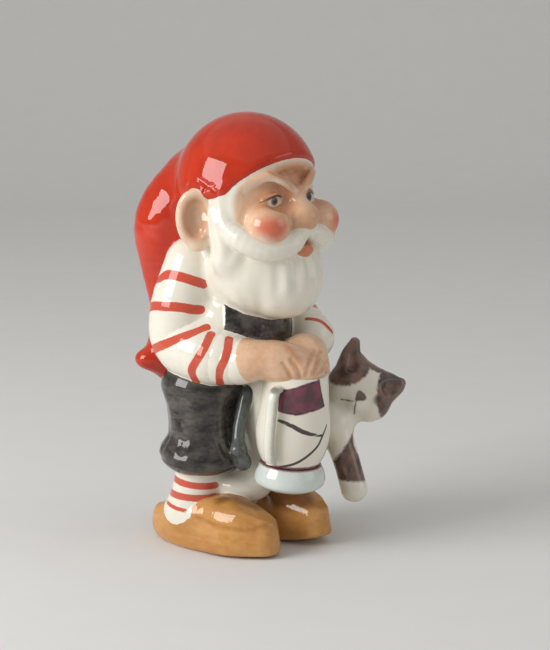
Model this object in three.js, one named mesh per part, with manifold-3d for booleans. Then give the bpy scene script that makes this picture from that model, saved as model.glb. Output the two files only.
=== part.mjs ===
// A porcelain gnome figurine, leaning on a jug, with a cat held under the left arm.
// Millimetres, +Z up. The gnome faces -Y, so the gnome's right side is at -X.
// The figure is modelled in clay fields (signed distances), cut into its luted
// pieces along the creases where one form meets the next, and then meshed.
// The jug is thrown work, so its body and foot are turned and its handle is pulled.

import * as THREE from 'three';
import { mergeVertices } from 'three/addons/utils/BufferGeometryUtils.js';
import Module from 'manifold-3d';

const wasm = await Module();
wasm.setup();

// Driving sizes of the legs

const STANCE = 12.2;
const CLOG_WIDTH = 15.6;
const CLOG_HEEL_Y = 20;
const CLOG_TOE_Y = -26;
const CLOG_HEEL_HEIGHT = 10;
const CLOG_INSTEP_HEIGHT = 16.5;
const CLOG_TOE_HEIGHT = 10.5;
const CLOG_TOE_IN = 2.4;
const LEFT_STEP_OUT = 1.5;
const LEFT_STEP_FORWARD = 2.2;
const STOCKING_RADIUS = 7;
const HEM_HEIGHT = 27.5;
const HEM_RADIUS = 13.2;
const THIGH_RADIUS = 11.2;
const WAIST_HEIGHT = 50;
const KNEE_TIE_RADIUS = 2.4;

// Driving sizes of the trunk and arms

const BELLY_HEIGHT = 65;
const BELLY_WIDTH = 35;
const BELLY_DEPTH = 36;
const SHOULDER_HEIGHT = 84;
const SHOULDER_SPREAD = 30;
const VEST_THICKNESS = 5;
const VEST_PROUD = 0.7;
const VEST_EDGE = 14;
const ELBOW_HEIGHT = 62.5;
const SLEEVE_RADIUS = 9.6;
const CUFF_RADIUS = 6.6;
const HAND_HEIGHT = 58.5;
const FINGER_RADIUS = 1.9;

// Driving sizes of the head

const HEAD_HEIGHT = 103;
const HEAD_FORWARD = 6;
const HEAD_WIDTH = 38.5;
const FACE_FORWARD = 23.5;
const EYE_SPREAD = 15.4;
const EYE_HEIGHT = 105.2;
const CHEEK_SPREAD = 20.4;
const CHEEK_RADIUS = 6.4;
const CHEEK_HEIGHT = 98.8;
const NOSE_RADIUS = 4.7;
const NOSE_HEIGHT = 100.4;
const NOSE_FORWARD = 27.8;
const BROW_RADIUS = 1.7;
const EAR_HEIGHT = 17.6;
const EAR_WIDTH = 11.4;
const EAR_THICKNESS = 6;
const BEARD_HEIGHT = 84.5;
const BEARD_LENGTH = 32;
const BEARD_WIDTH = 35.5;
const MOUSTACHE_RADIUS = 4.3;
const LIP_WIDTH = 6.6;

// Driving sizes of the cap

const CAP_TOP = 129.7;
const CAP_WIDTH = 41.5;
const CAP_BRIM_FRONT = 117;
const CAP_BRIM_SLOPE = 0.55;
const TAIL_SIDE = -4.5;
const TAIL_BACK = 18.6;
const TAIL_RADIUS = 13.8;
const TAIL_TIP_HEIGHT = 52;

// Driving sizes of the jug

const JUG_FORWARD = 22.6;
const JUG_LEAN = 5;
const JUG_BASE = 19.6;
const JUG_FOOT_HEIGHT = 7.6;
const JUG_FOOT_RADIUS = 10.8;
const JUG_WAIST_RADIUS = 8.7;
const JUG_BELLY_RADIUS = 11;
const JUG_NECK_RADIUS = 9.3;
const JUG_HEIGHT = 35;
const HANDLE_WIDTH = 4;
const HANDLE_THICKNESS = 2.4;
const HANDLE_STANDOFF = 2.2;
const SUPPORT_WIDTH = 9;

// Driving sizes of the cat

const CAT_HEAD_SIDE = 35.2;
const CAT_HEAD_FORWARD = 21.5;
const CAT_HEAD_HEIGHT = 43.5;
const CAT_HEAD_WIDTH = 21;
const CAT_EAR_RADIUS = 2.6;
const CAT_BODY_RADIUS = 8.6;
const CAT_LEG_RADIUS = 4.1;
const CAT_PAW_HEIGHT = 14;
const CAT_TAIL_RADIUS = 2.7;

// How the clay is joined and meshed

const SEAM_GAP = 0.4;
const LEAST_GAP = 0.1;
const LUTE = 1.1;
const COARSE = 4.3;
const MEDIUM = 3.3;
const FINE = 2.6;
const SMALL = 1.9;
const FAR = 1e3;

const WHITE = [0xe9e6dc, 0.16];
const RED = [0xbf3c1f, 0.16];
const GREY = [0x5c5650, 0.2];
const OCHRE = [0xb57a36, 0.18];
const SKIN = [0xdcae86, 0.18];
const TEAL = [0xbfcac8, 0.16];
const BROWN = [0x6d4c40, 0.2];
const PINK = [0xcf7f5f, 0.2];

const radians = THREE.MathUtils.degToRad;

// Clay tools: each returns the signed distance at x, y, z

function egg(centre, half, turn = [0, 0, 0]) {
  const spin = new THREE.Euler(radians(turn[0]), radians(turn[1]), radians(turn[2]), 'ZYX');
  const e = new THREE.Matrix4().makeRotationFromEuler(spin).elements;
  const [cx, cy, cz] = centre;
  const [a, b, c] = half;
  return (x, y, z) => {
    const dx = x - cx;
    const dy = y - cy;
    const dz = z - cz;
    const px = (e[0] * dx + e[1] * dy + e[2] * dz) / a;
    const py = (e[4] * dx + e[5] * dy + e[6] * dz) / b;
    const pz = (e[8] * dx + e[9] * dy + e[10] * dz) / c;
    const outer = Math.hypot(px, py, pz);
    const inner = Math.hypot(px / a, py / b, pz / c);
    return inner < 1e-9 ? -Math.min(a, b, c) : outer * (outer - 1) / inner;
  };
}

// A limb follows its points, each [x, y, z, radius]; weights above 1 thin it along an axis
function limb(points, weights = [1, 1, 1]) {
  const [wx, wy, wz] = weights;
  const bones = points.slice(1).map((end, i) => [points[i], end]);
  return (x, y, z) => {
    let nearest = FAR;
    for (const [a, b] of bones) {
      const ux = (b[0] - a[0]) * wx;
      const uy = (b[1] - a[1]) * wy;
      const uz = (b[2] - a[2]) * wz;
      const px = (x - a[0]) * wx;
      const py = (y - a[1]) * wy;
      const pz = (z - a[2]) * wz;
      const along = (px * ux + py * uy + pz * uz) / (ux * ux + uy * uy + uz * uz);
      const t = Math.min(1, Math.max(0, along));
      const away = Math.hypot(px - t * ux, py - t * uy, pz - t * uz);
      nearest = Math.min(nearest, away - a[3] - t * (b[3] - a[3]));
    }
    return nearest;
  };
}

function softMin(a, b, k) {
  const h = Math.max(k - Math.abs(a - b), 0) / k;
  return Math.min(a, b) - h * h * k / 4;
}

function blend(k, ...forms) {
  return (x, y, z) => forms.reduce((sum, form) => softMin(sum, form(x, y, z), k), FAR);
}

function carve(k, form, ...tools) {
  return (x, y, z) => tools.reduce((left, tool) => -softMin(-left, tool(x, y, z), k), form(x, y, z));
}

function common(k, ...forms) {
  return (x, y, z) => -forms.reduce((sum, form) => softMin(sum, -form(x, y, z), k), FAR);
}

function mirrored(form) {
  return (x, y, z) => form(-x, y, z);
}

// Everything on the side that the normal points away from
function halfSpace(point, normal) {
  const [nx, ny, nz] = new THREE.Vector3(...normal).normalize().toArray();
  return (x, y, z) => (x - point[0]) * nx + (y - point[1]) * ny + (z - point[2]) * nz;
}

// Legs: side is -1 for the gnome's right and +1 for the left

function clog(side) {
  const stepOut = side > 0 ? LEFT_STEP_OUT : 0;
  const forward = side > 0 ? LEFT_STEP_FORWARD : 0;
  const middle = side * STANCE + stepOut;
  const toeX = middle - side * CLOG_TOE_IN;
  const wide = CLOG_WIDTH / 2;
  const outline = limb([
    [middle + side, CLOG_HEEL_Y - 7.8 - forward, 0, 7.8],
    [middle, -4 - forward, 0, wide],
    [middle - side, -12 - forward, 0, wide + 0.8],
    [toeX, CLOG_TOE_Y + 5.6 - forward, 0, 5.6],
  ], [1, 1, 0]);
  const leanIn = 0.16;
  const walls = (x, y, z) => outline(x, y, 0) + leanIn * Math.max(0, z - 4);
  const instepY = -8 - forward;
  const heelTop = halfSpace([0, CLOG_HEEL_Y, CLOG_HEEL_HEIGHT], [0, 0.24, 1]);
  const toeTop = halfSpace([0, CLOG_TOE_Y - forward, CLOG_TOE_HEIGHT], [0, -0.42, 1]);
  const crown = egg([middle - side, instepY + 3, CLOG_INSTEP_HEIGHT - 12], [9.8, 27, 12.6], [2, 0, 0]);
  return common(3, walls, heelTop, toeTop, crown, halfSpace([0, 0, -0.7], [0, 0, -1]));
}

function stocking(side) {
  const middle = side * STANCE;
  return limb([
    [middle, -5, 9.5, STOCKING_RADIUS - 1],
    [middle, 5, 9.5, STOCKING_RADIUS + 1],
    [middle, 4.4, 13, STOCKING_RADIUS + 0.6],
    [middle, 3, 20, STOCKING_RADIUS],
    [middle, 2, 30, STOCKING_RADIUS],
  ]);
}

function breechesLeg(side) {
  const middle = side * STANCE;
  const leg = limb([
    [side * 10.6, 2.4, WAIST_HEIGHT - 3, THIGH_RADIUS],
    [middle - side * 0.3, 2, 38, THIGH_RADIUS - 0.9],
    [middle, 1.5, HEM_HEIGHT + 2, THIGH_RADIUS - 1],
  ]);
  const hem = egg([middle, 1, HEM_HEIGHT], [HEM_RADIUS, HEM_RADIUS + 0.3, 5.6], [5, 0, 0]);
  const seat = egg([side * 8, 4, WAIST_HEIGHT - 1], [13.4, 12, 8]);
  return common(1.2, blend(2.6, leg, hem, seat), halfSpace([0, 0, HEM_HEIGHT - 4.6], [0, 0, -1]));
}

// The placket runs down the inner front of the leg to its tie at the knee
function kneeTie(side) {
  const innerX = side * (STANCE - 3.4);
  const strap = limb([
    [innerX, -10.6, WAIST_HEIGHT - 3, KNEE_TIE_RADIUS],
    [innerX + side * 1.2, -10.6, HEM_HEIGHT + 9, KNEE_TIE_RADIUS - 0.2],
    [innerX + side * 1.6, -11.8, HEM_HEIGHT + 4.4, KNEE_TIE_RADIUS - 0.2],
  ]);
  const knot = egg([innerX + side * 1.8, -12.6, HEM_HEIGHT + 3.6], [KNEE_TIE_RADIUS + 0.5, 2.6, KNEE_TIE_RADIUS]);
  const bow = egg([innerX, -13.2, HEM_HEIGHT], [KNEE_TIE_RADIUS, 2.8, KNEE_TIE_RADIUS + 0.6]);
  return blend(1.4, strap, knot, bow);
}

// Trunk and arms

const trunk = blend(
  5,
  egg([0, 0.5, BELLY_HEIGHT], [BELLY_WIDTH / 2, BELLY_DEPTH / 2, 17]),
  egg([0, 3.5, SHOULDER_HEIGHT - 1], [SHOULDER_SPREAD / 2 + 2, 12, 13]),
);

// The vest is a plate laid on the front of the trunk, squared off at its sides
function vestPlate() {
  const outside = (x, y, z) => trunk(x, y, z) - VEST_PROUD;
  const inside = (x, y, z) => -trunk(x, y, z) - VEST_THICKNESS;
  const sides = [-1, 1].map((side) => halfSpace([side * VEST_EDGE, -8, 0], [side, 0.25, 0]));
  return common(
    0.5,
    outside,
    inside,
    ...sides,
    halfSpace([0, -4, 0], [0, 1, 0]),
    halfSpace([0, 0, BELLY_HEIGHT - 13], [0, 0, -1]),
    halfSpace([0, 0, BELLY_HEIGHT + 12], [0, 0, 1]),
  );
}

function sleeveRight() {
  const out = 0.9 - SHOULDER_SPREAD / 2;
  return limb([
    [out + 1.5, 4.5, SHOULDER_HEIGHT + 1, SLEEVE_RADIUS - 1.6],
    [out - 0.6, 6.8, SHOULDER_HEIGHT - 12, SLEEVE_RADIUS - 0.4],
    [out - 0.2, 6.4, ELBOW_HEIGHT, SLEEVE_RADIUS],
    [out - 1, -3, ELBOW_HEIGHT - 2, SLEEVE_RADIUS - 0.6],
    [out + 1.4, -14.5, HAND_HEIGHT + 0.4, CUFF_RADIUS],
  ]);
}

function sleeveLeft() {
  const out = SHOULDER_SPREAD / 2;
  return limb([
    [out - 1.5, 4, SHOULDER_HEIGHT + 1, SLEEVE_RADIUS - 1.6],
    [out + 2.5, 0, SHOULDER_HEIGHT - 12, SLEEVE_RADIUS - 0.6],
    [out + 4.6, -5.5, ELBOW_HEIGHT + 2, SLEEVE_RADIUS - 1],
    [out + 1, -15.6, HAND_HEIGHT + 3, CUFF_RADIUS + 0.6],
  ]);
}

function fingers(root, step, reach, count) {
  const rows = Array.from({ length: count }, (_, i) => {
    const knuckle = root.map((value, axis) => value + step[axis] * i);
    const bend = knuckle.map((value, axis) => value + reach[0][axis]);
    const tip = bend.map((value, axis) => value + reach[1][axis]);
    return limb([[...knuckle, FINGER_RADIUS + 0.3], [...bend, FINGER_RADIUS], [...tip, FINGER_RADIUS - 0.3]]);
  });
  return blend(1, ...rows);
}

// The right hand lies across the jug's mouth, with its fingers over the far rim
function handRight() {
  const palm = egg([-5.6, -22.4, HAND_HEIGHT], [10.5, 7.4, 5.6], [0, 6, -38]);
  const wrist = egg([-12, -17, HAND_HEIGHT + 0.6], [6.4, 6.4, 6]);
  const over = fingers([0.5, -29.6, HAND_HEIGHT - 0.4], [1.6, 3, 0], [[5.5, -2, -1.6], [2.4, -0.4, -2.6]], 3);
  return blend(3, palm, wrist, over);
}

function handLeft() {
  const palm = egg([6.8, -22.4, HAND_HEIGHT + 1], [8.2, 6.8, 5.4], [0, -8, 30]);
  const over = fingers([9, -27.3, HAND_HEIGHT + 0.4], [2.2, 2.6, -0.2], [[1.2, -1.8, -3.4], [-0.6, 0.4, -4]], 3);
  return blend(2.4, palm, over);
}

// Head

const faceY = -FACE_FORWARD;
const headY = -HEAD_FORWARD;

function headForm() {
  const skull = egg([0, headY, HEAD_HEIGHT], [HEAD_WIDTH / 2, HEAD_WIDTH / 2 - 0.2, 20.5]);
  const jaw = egg([0, headY - 6, HEAD_HEIGHT - 6], [HEAD_WIDTH / 2 - 1.5, 15, 12]);
  const cheeks = [-1, 1].map((side) => egg(
    [side * CHEEK_SPREAD / 2, faceY - 0.7, CHEEK_HEIGHT],
    [CHEEK_RADIUS, CHEEK_RADIUS - 0.2, CHEEK_RADIUS - 0.4],
  ));
  const brows = [-1, 1].map((side) => limb([
    [side * 13.6, -19, HEAD_HEIGHT + 7, BROW_RADIUS - 0.4],
    [side * 8.4, -23.4, HEAD_HEIGHT + 8.4, BROW_RADIUS + 0.2],
    [side * 2, -26, HEAD_HEIGHT + 4.6, BROW_RADIUS - 0.2],
  ]));
  const bridge = limb([[0, -24.8, HEAD_HEIGHT + 4, 2.2], [0, -NOSE_FORWARD, NOSE_HEIGHT, NOSE_RADIUS - 1]]);
  const ball = egg([0, -NOSE_FORWARD, NOSE_HEIGHT], [NOSE_RADIUS, NOSE_RADIUS + 0.2, NOSE_RADIUS - 0.6]);
  const wings = [-1, 1].map((side) => egg([side * 4, 1 - NOSE_FORWARD, NOSE_HEIGHT - 1.2], [2.4, 2.8, 2.3]));
  const sockets = [-1, 1].map((side) => egg([side * EYE_SPREAD / 2, -26.6, EYE_HEIGHT], [4.6, 3.2, 2.6]));
  const eyes = [-1, 1].map((side) => egg([side * EYE_SPREAD / 2, -20.9, EYE_HEIGHT], [3.3, 3.1, 2.6]));
  const face = blend(2.2, blend(3.5, skull, jaw), ...cheeks, ...brows);
  return blend(1.2, carve(2, face, ...sockets), ...eyes, blend(1.4, bridge, ball, ...wings));
}

function ear(side) {
  const centre = [side * (HEAD_WIDTH / 2 + 1.6), headY + 1.4, HEAD_HEIGHT - 3.4];
  const turn = side * 50;
  const shell = egg(centre, [EAR_WIDTH / 2, EAR_THICKNESS / 2, EAR_HEIGHT / 2], [8, 0, turn]);
  const bowl = egg(
    [centre[0] + side * 1.9, centre[1] - 1.9, centre[2] + 0.4],
    [EAR_WIDTH / 2 - 2.3, EAR_THICKNESS / 2 - 0.8, EAR_HEIGHT / 2 - 3],
    [8, 0, turn],
  );
  return carve(1.4, shell, bowl);
}

function beardForm() {
  const middle = BEARD_HEIGHT;
  const mass = egg([0, -12.6, middle], [BEARD_WIDTH / 2, 16.6, BEARD_LENGTH / 2], [-6, 0, 0]);
  const chin = egg([0, -20.5, middle - 5], [11.5, 9.6, 10.6]);
  const sideburns = [-1, 1].map((side) => blend(
    2,
    egg([side * 13.6, -11.4, middle + 19.4], [5.5, 7.6, 9.6]),
    limb([[side * 16.4, -12, middle + 13, 3.6], [side * 15.6, -13, middle + 4, 4.8]]),
  ));
  const mouth = egg([0, -30.6, middle + 7], [3.6, 4, 2.6]);
  return carve(1, blend(3, mass, chin, ...sideburns), mouth);
}

function moustacheForm() {
  const wings = [-1, 1].map((side) => limb([
    [side * 1.6, -28.6, NOSE_HEIGHT - 4, MOUSTACHE_RADIUS - 2],
    [side * 6.4, -27.6, NOSE_HEIGHT - 6.4, MOUSTACHE_RADIUS - 0.6],
    [side * 12.4, -24.2, NOSE_HEIGHT - 7.6, MOUSTACHE_RADIUS],
    [side * 16.8, -18.2, NOSE_HEIGHT - 6, MOUSTACHE_RADIUS - 0.6],
    [side * 18.4, -12.6, NOSE_HEIGHT - 2, MOUSTACHE_RADIUS - 2.2],
  ]));
  return blend(1, ...wings);
}

function lowerLip() {
  return egg([0, -28.4, BEARD_HEIGHT + 5.4], [LIP_WIDTH / 2, 2.8, 2]);
}

// Cap: a crown pulled down over the brow and a slack tail that hangs to the hips

const brimPlane = halfSpace([0, -HEAD_WIDTH / 2 - HEAD_FORWARD, CAP_BRIM_FRONT], [0, -CAP_BRIM_SLOPE, -1]);

function capCrown() {
  const half = CAP_WIDTH / 2;
  const crown = egg([0, headY + 0.2, CAP_TOP - 21.5], [half, half + 0.9, 21.5]);
  const roll = limb([[-19.2, -3.2, HEAD_HEIGHT + 5.4, 2.2], [-18, -11.4, HEAD_HEIGHT + 7.8, 1.9]]);
  return blend(1.4, common(1.6, crown, brimPlane), roll);
}

function capTail() {
  const fold = limb([
    [TAIL_SIDE + 3, TAIL_BACK - 7, CAP_TOP - 23.4, TAIL_RADIUS],
    [TAIL_SIDE, TAIL_BACK - 0.4, CAP_TOP - 33, TAIL_RADIUS],
    [TAIL_SIDE + 0.2, TAIL_BACK, 85, TAIL_RADIUS - 1.2],
    [TAIL_SIDE + 0.4, TAIL_BACK - 1, 70, TAIL_RADIUS - 3],
    [TAIL_SIDE - 1, TAIL_BACK + 1, TAIL_TIP_HEIGHT + 4, TAIL_RADIUS - 5],
    [TAIL_SIDE - 1, TAIL_BACK, TAIL_TIP_HEIGHT, 3],
  ], [1, 1.15, 1]);
  const flare = egg([TAIL_SIDE - 8.6, TAIL_BACK + 4.6, TAIL_TIP_HEIGHT + 3], [4.6, 4.4, 3.6], [0, 0, 30]);
  return blend(4, fold, flare);
}

// Cat: its head looks to the gnome's right and front, rolled over to its own left

const catNose = new THREE.Vector3(-0.787, -0.618, -0.033).normalize();
const catCrown = new THREE.Vector3(0.327, -0.42, 0.846).normalize();
const catEarward = new THREE.Vector3().crossVectors(catCrown, catNose).normalize();
const catCentre = new THREE.Vector3(CAT_HEAD_SIDE, -CAT_HEAD_FORWARD, CAT_HEAD_HEIGHT);

function onCatHead(across, up, out) {
  return catCentre.clone()
    .addScaledVector(catEarward, across)
    .addScaledVector(catCrown, up)
    .addScaledVector(catNose, out)
    .toArray();
}

function catHeadForm() {
  const half = CAT_HEAD_WIDTH / 2;
  const skull = limb([
    [...onCatHead(-2.2, 0.4, 0), half - 2.2],
    [...onCatHead(2.2, 0.4, 0), half - 2.2],
  ]);
  const cheeks = [-1, 1].map((side) => limb([
    [...onCatHead(side * 4.6, -2.6, 2.2), 5.2],
    [...onCatHead(side * 5.4, -2.2, 1.4), 5],
  ]));
  const muzzle = limb([[...onCatHead(0, -3.6, 4), 4.4], [...onCatHead(0.2, -2.9, 6.4), 3]]);
  const ears = [-1, 1].map((side) => limb([
    [...onCatHead(side * 6.4, 5, 0.4), CAT_EAR_RADIUS + 1.4],
    [...onCatHead(side * 8.6, 9.4, 0.4), CAT_EAR_RADIUS - 1],
  ]));
  const hollows = [-1, 1].map((side) => limb([
    [...onCatHead(side * 6.6, 6, 5.4), 2],
    [...onCatHead(side * 8.2, 8.6, 3.4), 1],
  ]));
  return blend(2, carve(1.2, blend(1.8, skull, ...ears), ...hollows), ...cheeks, muzzle);
}

const catShoulder = [25.6, -12.5, 33.5];
const catRump = [20.5, 11.5, 39];

function catBody() {
  return limb([
    [29.4, -18, 35.5, CAT_BODY_RADIUS - 2.8],
    [...catShoulder, CAT_BODY_RADIUS - 0.6],
    [24, 1, 35.5, CAT_BODY_RADIUS],
    [...catRump, CAT_BODY_RADIUS - 0.8],
  ]);
}

function catForeleg() {
  return limb([
    [26.2, -18.4, 33, CAT_LEG_RADIUS + 0.9],
    [26.8, -22.6, 23, CAT_LEG_RADIUS],
    [27.4, -25.4, CAT_PAW_HEIGHT, CAT_LEG_RADIUS],
  ]);
}

function catHindLeg() {
  return blend(
    2,
    egg([27, 10.5, 35], [4.6, 6.4, 6.8]),
    limb([[27.6, 9, 31, CAT_LEG_RADIUS], [27, 3.6, 25.4, CAT_LEG_RADIUS - 0.8]]),
  );
}

function catTail() {
  return limb([
    [19, 19.6, 39, CAT_TAIL_RADIUS + 0.4],
    [24.5, 18.6, 32, CAT_TAIL_RADIUS],
    [28.4, 12.4, 26.4, CAT_TAIL_RADIUS],
    [29, 5, 22.4, CAT_TAIL_RADIUS - 0.5],
  ]);
}

// Jug: turned body and foot on one leaning axis, and a strap handle

const jugTurn = radians(JUG_LEAN);
const jugAxisPoint = new THREE.Vector3(0, -JUG_FORWARD, JUG_BASE);

function jugPlace(object) {
  object.position.copy(jugAxisPoint);
  object.rotation.x = Math.PI / 2 + jugTurn;
  return object;
}

function jugCurve(points, steps) {
  const curve = new THREE.SplineCurve(points.map(([radius, height]) => new THREE.Vector2(radius, height)));
  return curve.getPoints(steps);
}

const footTop = JUG_FOOT_HEIGHT - SEAM_GAP / 2;
const bodyBottom = JUG_FOOT_HEIGHT + SEAM_GAP / 2;

const footProfile = [
  new THREE.Vector2(0, 0),
  ...jugCurve([
    [JUG_FOOT_RADIUS - 1.4, 0],
    [JUG_FOOT_RADIUS, 1.8],
    [JUG_FOOT_RADIUS - 0.9, 4.6],
    [JUG_WAIST_RADIUS, footTop],
  ], 5),
  new THREE.Vector2(0, footTop),
];

const bodyProfile = [
  new THREE.Vector2(0, bodyBottom),
  ...jugCurve([
    [JUG_WAIST_RADIUS, bodyBottom],
    [JUG_BELLY_RADIUS - 0.7, JUG_HEIGHT * 0.34],
    [JUG_BELLY_RADIUS, JUG_HEIGHT * 0.5],
    [JUG_NECK_RADIUS + 0.9, JUG_HEIGHT * 0.74],
    [JUG_NECK_RADIUS, JUG_HEIGHT],
  ], 8),
  new THREE.Vector2(0, JUG_HEIGHT),
];

function turnedDistance(profile) {
  const edges = profile.slice(1).map((end, i) => [profile[i], end]);
  const cos = Math.cos(jugTurn);
  const sin = Math.sin(jugTurn);
  return (x, y, z) => {
    const dy = y + JUG_FORWARD;
    const dz = z - JUG_BASE;
    const height = cos * dz - sin * dy;
    const radius = Math.hypot(x, cos * dy + sin * dz);
    let nearest = FAR;
    let within = height > profile[0].y && height < profile[profile.length - 1].y;
    for (const [a, b] of edges) {
      const ux = b.x - a.x;
      const uy = b.y - a.y;
      const along = ((radius - a.x) * ux + (height - a.y) * uy) / (ux * ux + uy * uy);
      const t = Math.min(1, Math.max(0, along));
      nearest = Math.min(nearest, Math.hypot(radius - a.x - t * ux, height - a.y - t * uy));
      const crosses = (a.y <= height) !== (b.y <= height);
      if (crosses && radius > a.x + ux * (height - a.y) / uy) {
        within = false;
      }
    }
    return within ? -nearest : nearest;
  };
}

function turned(profile) {
  return new THREE.LatheGeometry(profile, 36);
}

// The strap springs from the neck, drops straight and returns to the body's waist
const handleAngle = radians(4);
const handleReach = JUG_BELLY_RADIUS + HANDLE_STANDOFF;
const handleRoute = [
  [JUG_NECK_RADIUS + 0.85, JUG_HEIGHT - 3.4],
  [handleReach - 0.9, JUG_HEIGHT - 4.2],
  [handleReach, JUG_HEIGHT - 8],
  [handleReach + 0.3, JUG_HEIGHT * 0.5],
  [handleReach - 0.5, JUG_FOOT_HEIGHT + 4.6],
  [handleReach - 1.7, JUG_FOOT_HEIGHT + 2.6],
  [JUG_WAIST_RADIUS + 2, JUG_FOOT_HEIGHT + 1.9],
];
const handlePoints = handleRoute.map(([radius, height]) => new THREE.Vector3(
  -radius * Math.cos(handleAngle),
  height,
  radius * Math.sin(handleAngle),
));

function handleStrap() {
  const section = new THREE.Shape();
  section.absellipse(0, 0, HANDLE_WIDTH / 2, HANDLE_THICKNESS / 2, 0, 2 * Math.PI);
  return new THREE.ExtrudeGeometry(section, {
    curveSegments: 5,
    steps: 16,
    bevelEnabled: false,
    extrudePath: new THREE.CatmullRomCurve3(handlePoints),
  });
}

function handleDistance() {
  const frame = jugPlace(new THREE.Object3D());
  frame.updateMatrixWorld();
  const radius = HANDLE_WIDTH / 2;
  return limb(handlePoints.map((point) => [...point.clone().applyMatrix4(frame.matrixWorld).toArray(), radius]));
}

// The white wall that carries the jug stands between the gnome's legs
function jugSupport() {
  const half = SUPPORT_WIDTH / 2;
  return blend(
    4,
    limb([[0, -12, JUG_BASE + 30, half], [0, -12, JUG_BASE + 4, half + 0.3]], [1, 0.5, 1]),
    egg([0, -6, JUG_BASE - 3], [9.6, 9.5, 6.4]),
  );
}

// Every clay piece with its glaze colour and the size of its mesh cells

const clayPieces = [
  ['clog_right', clog(-1), OCHRE, MEDIUM],
  ['clog_left', clog(1), OCHRE, MEDIUM],
  ['stocking_right', stocking(-1), WHITE, MEDIUM],
  ['stocking_left', stocking(1), WHITE, MEDIUM],
  ['jug_support', jugSupport(), WHITE, MEDIUM],
  ['breeches_right', breechesLeg(-1), GREY, COARSE],
  ['breeches_left', breechesLeg(1), GREY, COARSE],
  ['knee_tie_right', kneeTie(-1), GREY, SMALL],
  ['knee_tie_left', kneeTie(1), GREY, SMALL],
  ['vest', vestPlate(), GREY, FINE],
  ['shirt_trunk', trunk, WHITE, COARSE],
  ['sleeve_right', sleeveRight(), WHITE, COARSE],
  ['sleeve_left', sleeveLeft(), WHITE, COARSE],
  ['beard', beardForm(), WHITE, MEDIUM],
  ['hand_right', handRight(), SKIN, FINE],
  ['hand_left', handLeft(), SKIN, FINE],
  ['head', headForm(), SKIN, FINE],
  ['ear_right', ear(-1), SKIN, SMALL],
  ['ear_left', ear(1), SKIN, SMALL],
  ['moustache', moustacheForm(), WHITE, FINE],
  ['lower_lip', lowerLip(), PINK, SMALL],
  ['cap_crown', capCrown(), RED, COARSE],
  ['cap_tail', capTail(), RED, COARSE],
  ['cat_head', catHeadForm(), BROWN, FINE],
  ['cat_body', catBody(), BROWN, MEDIUM],
  ['cat_foreleg', catForeleg(), BROWN, FINE],
  ['cat_hind_leg', catHindLeg(), BROWN, FINE],
  ['cat_tail', catTail(), BROWN, FINE],
];

// Pieces that flow into each other, and how softly; all others meet at a plain luted crease
const softJoins = [
  [['cap_crown', 'cap_tail'], 4],
  [['shirt_trunk', 'sleeve_right', 'sleeve_left', 'beard', 'head'], 2.6],
  [['stocking_right', 'stocking_left', 'jug_support'], 3],
  [['cat_head', 'cat_body', 'cat_foreleg', 'cat_hind_leg'], 2.4],
];

const fields = clayPieces.map(([, form]) => form);
const jugForms = [turnedDistance(footProfile), turnedDistance(bodyProfile), handleDistance()];

const joinedNames = softJoins.flatMap(([names]) => names);
const places = softJoins.map(([names]) => names.map((name) => clayPieces.findIndex((row) => row[0] === name)));
const plain = fields.map((_, index) => index).filter((index) => !joinedNames.includes(clayPieces[index][0]));

// The figure's surface distance, and by how much one piece is farther than its nearest rival
function shareOf(piece, x, y, z) {
  const values = fields.map((form) => form(x, y, z));
  let whole = FAR;
  places.forEach((members, join) => {
    const body = members.reduce((sum, index) => softMin(sum, values[index], softJoins[join][1]), FAR);
    whole = softMin(whole, body, LUTE);
  });
  for (const index of plain) {
    whole = softMin(whole, values[index], LUTE);
  }
  let rival = FAR;
  values.forEach((value, index) => {
    rival = index === piece ? rival : Math.min(rival, value);
  });
  return [whole, values[piece] - rival];
}

function pieceDistance(piece, x, y, z) {
  const [whole, share] = shareOf(piece, x, y, z);
  const step = 0.15;
  const slopeX = shareOf(piece, x + step, y, z)[1] - share;
  const slopeY = shareOf(piece, x, y + step, z)[1] - share;
  const slopeZ = shareOf(piece, x, y, z + step)[1] - share;
  const slope = Math.max(0.5, Math.hypot(slopeX, slopeY, slopeZ) / step);
  const clear = SEAM_GAP - Math.min(...jugForms.map((form) => form(x, y, z)));
  return Math.max(whole, share / slope + SEAM_GAP / 2, clear);
}

// Meshing: a lattice of samples, made free of pinched corners, then a quad per crossed edge

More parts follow.
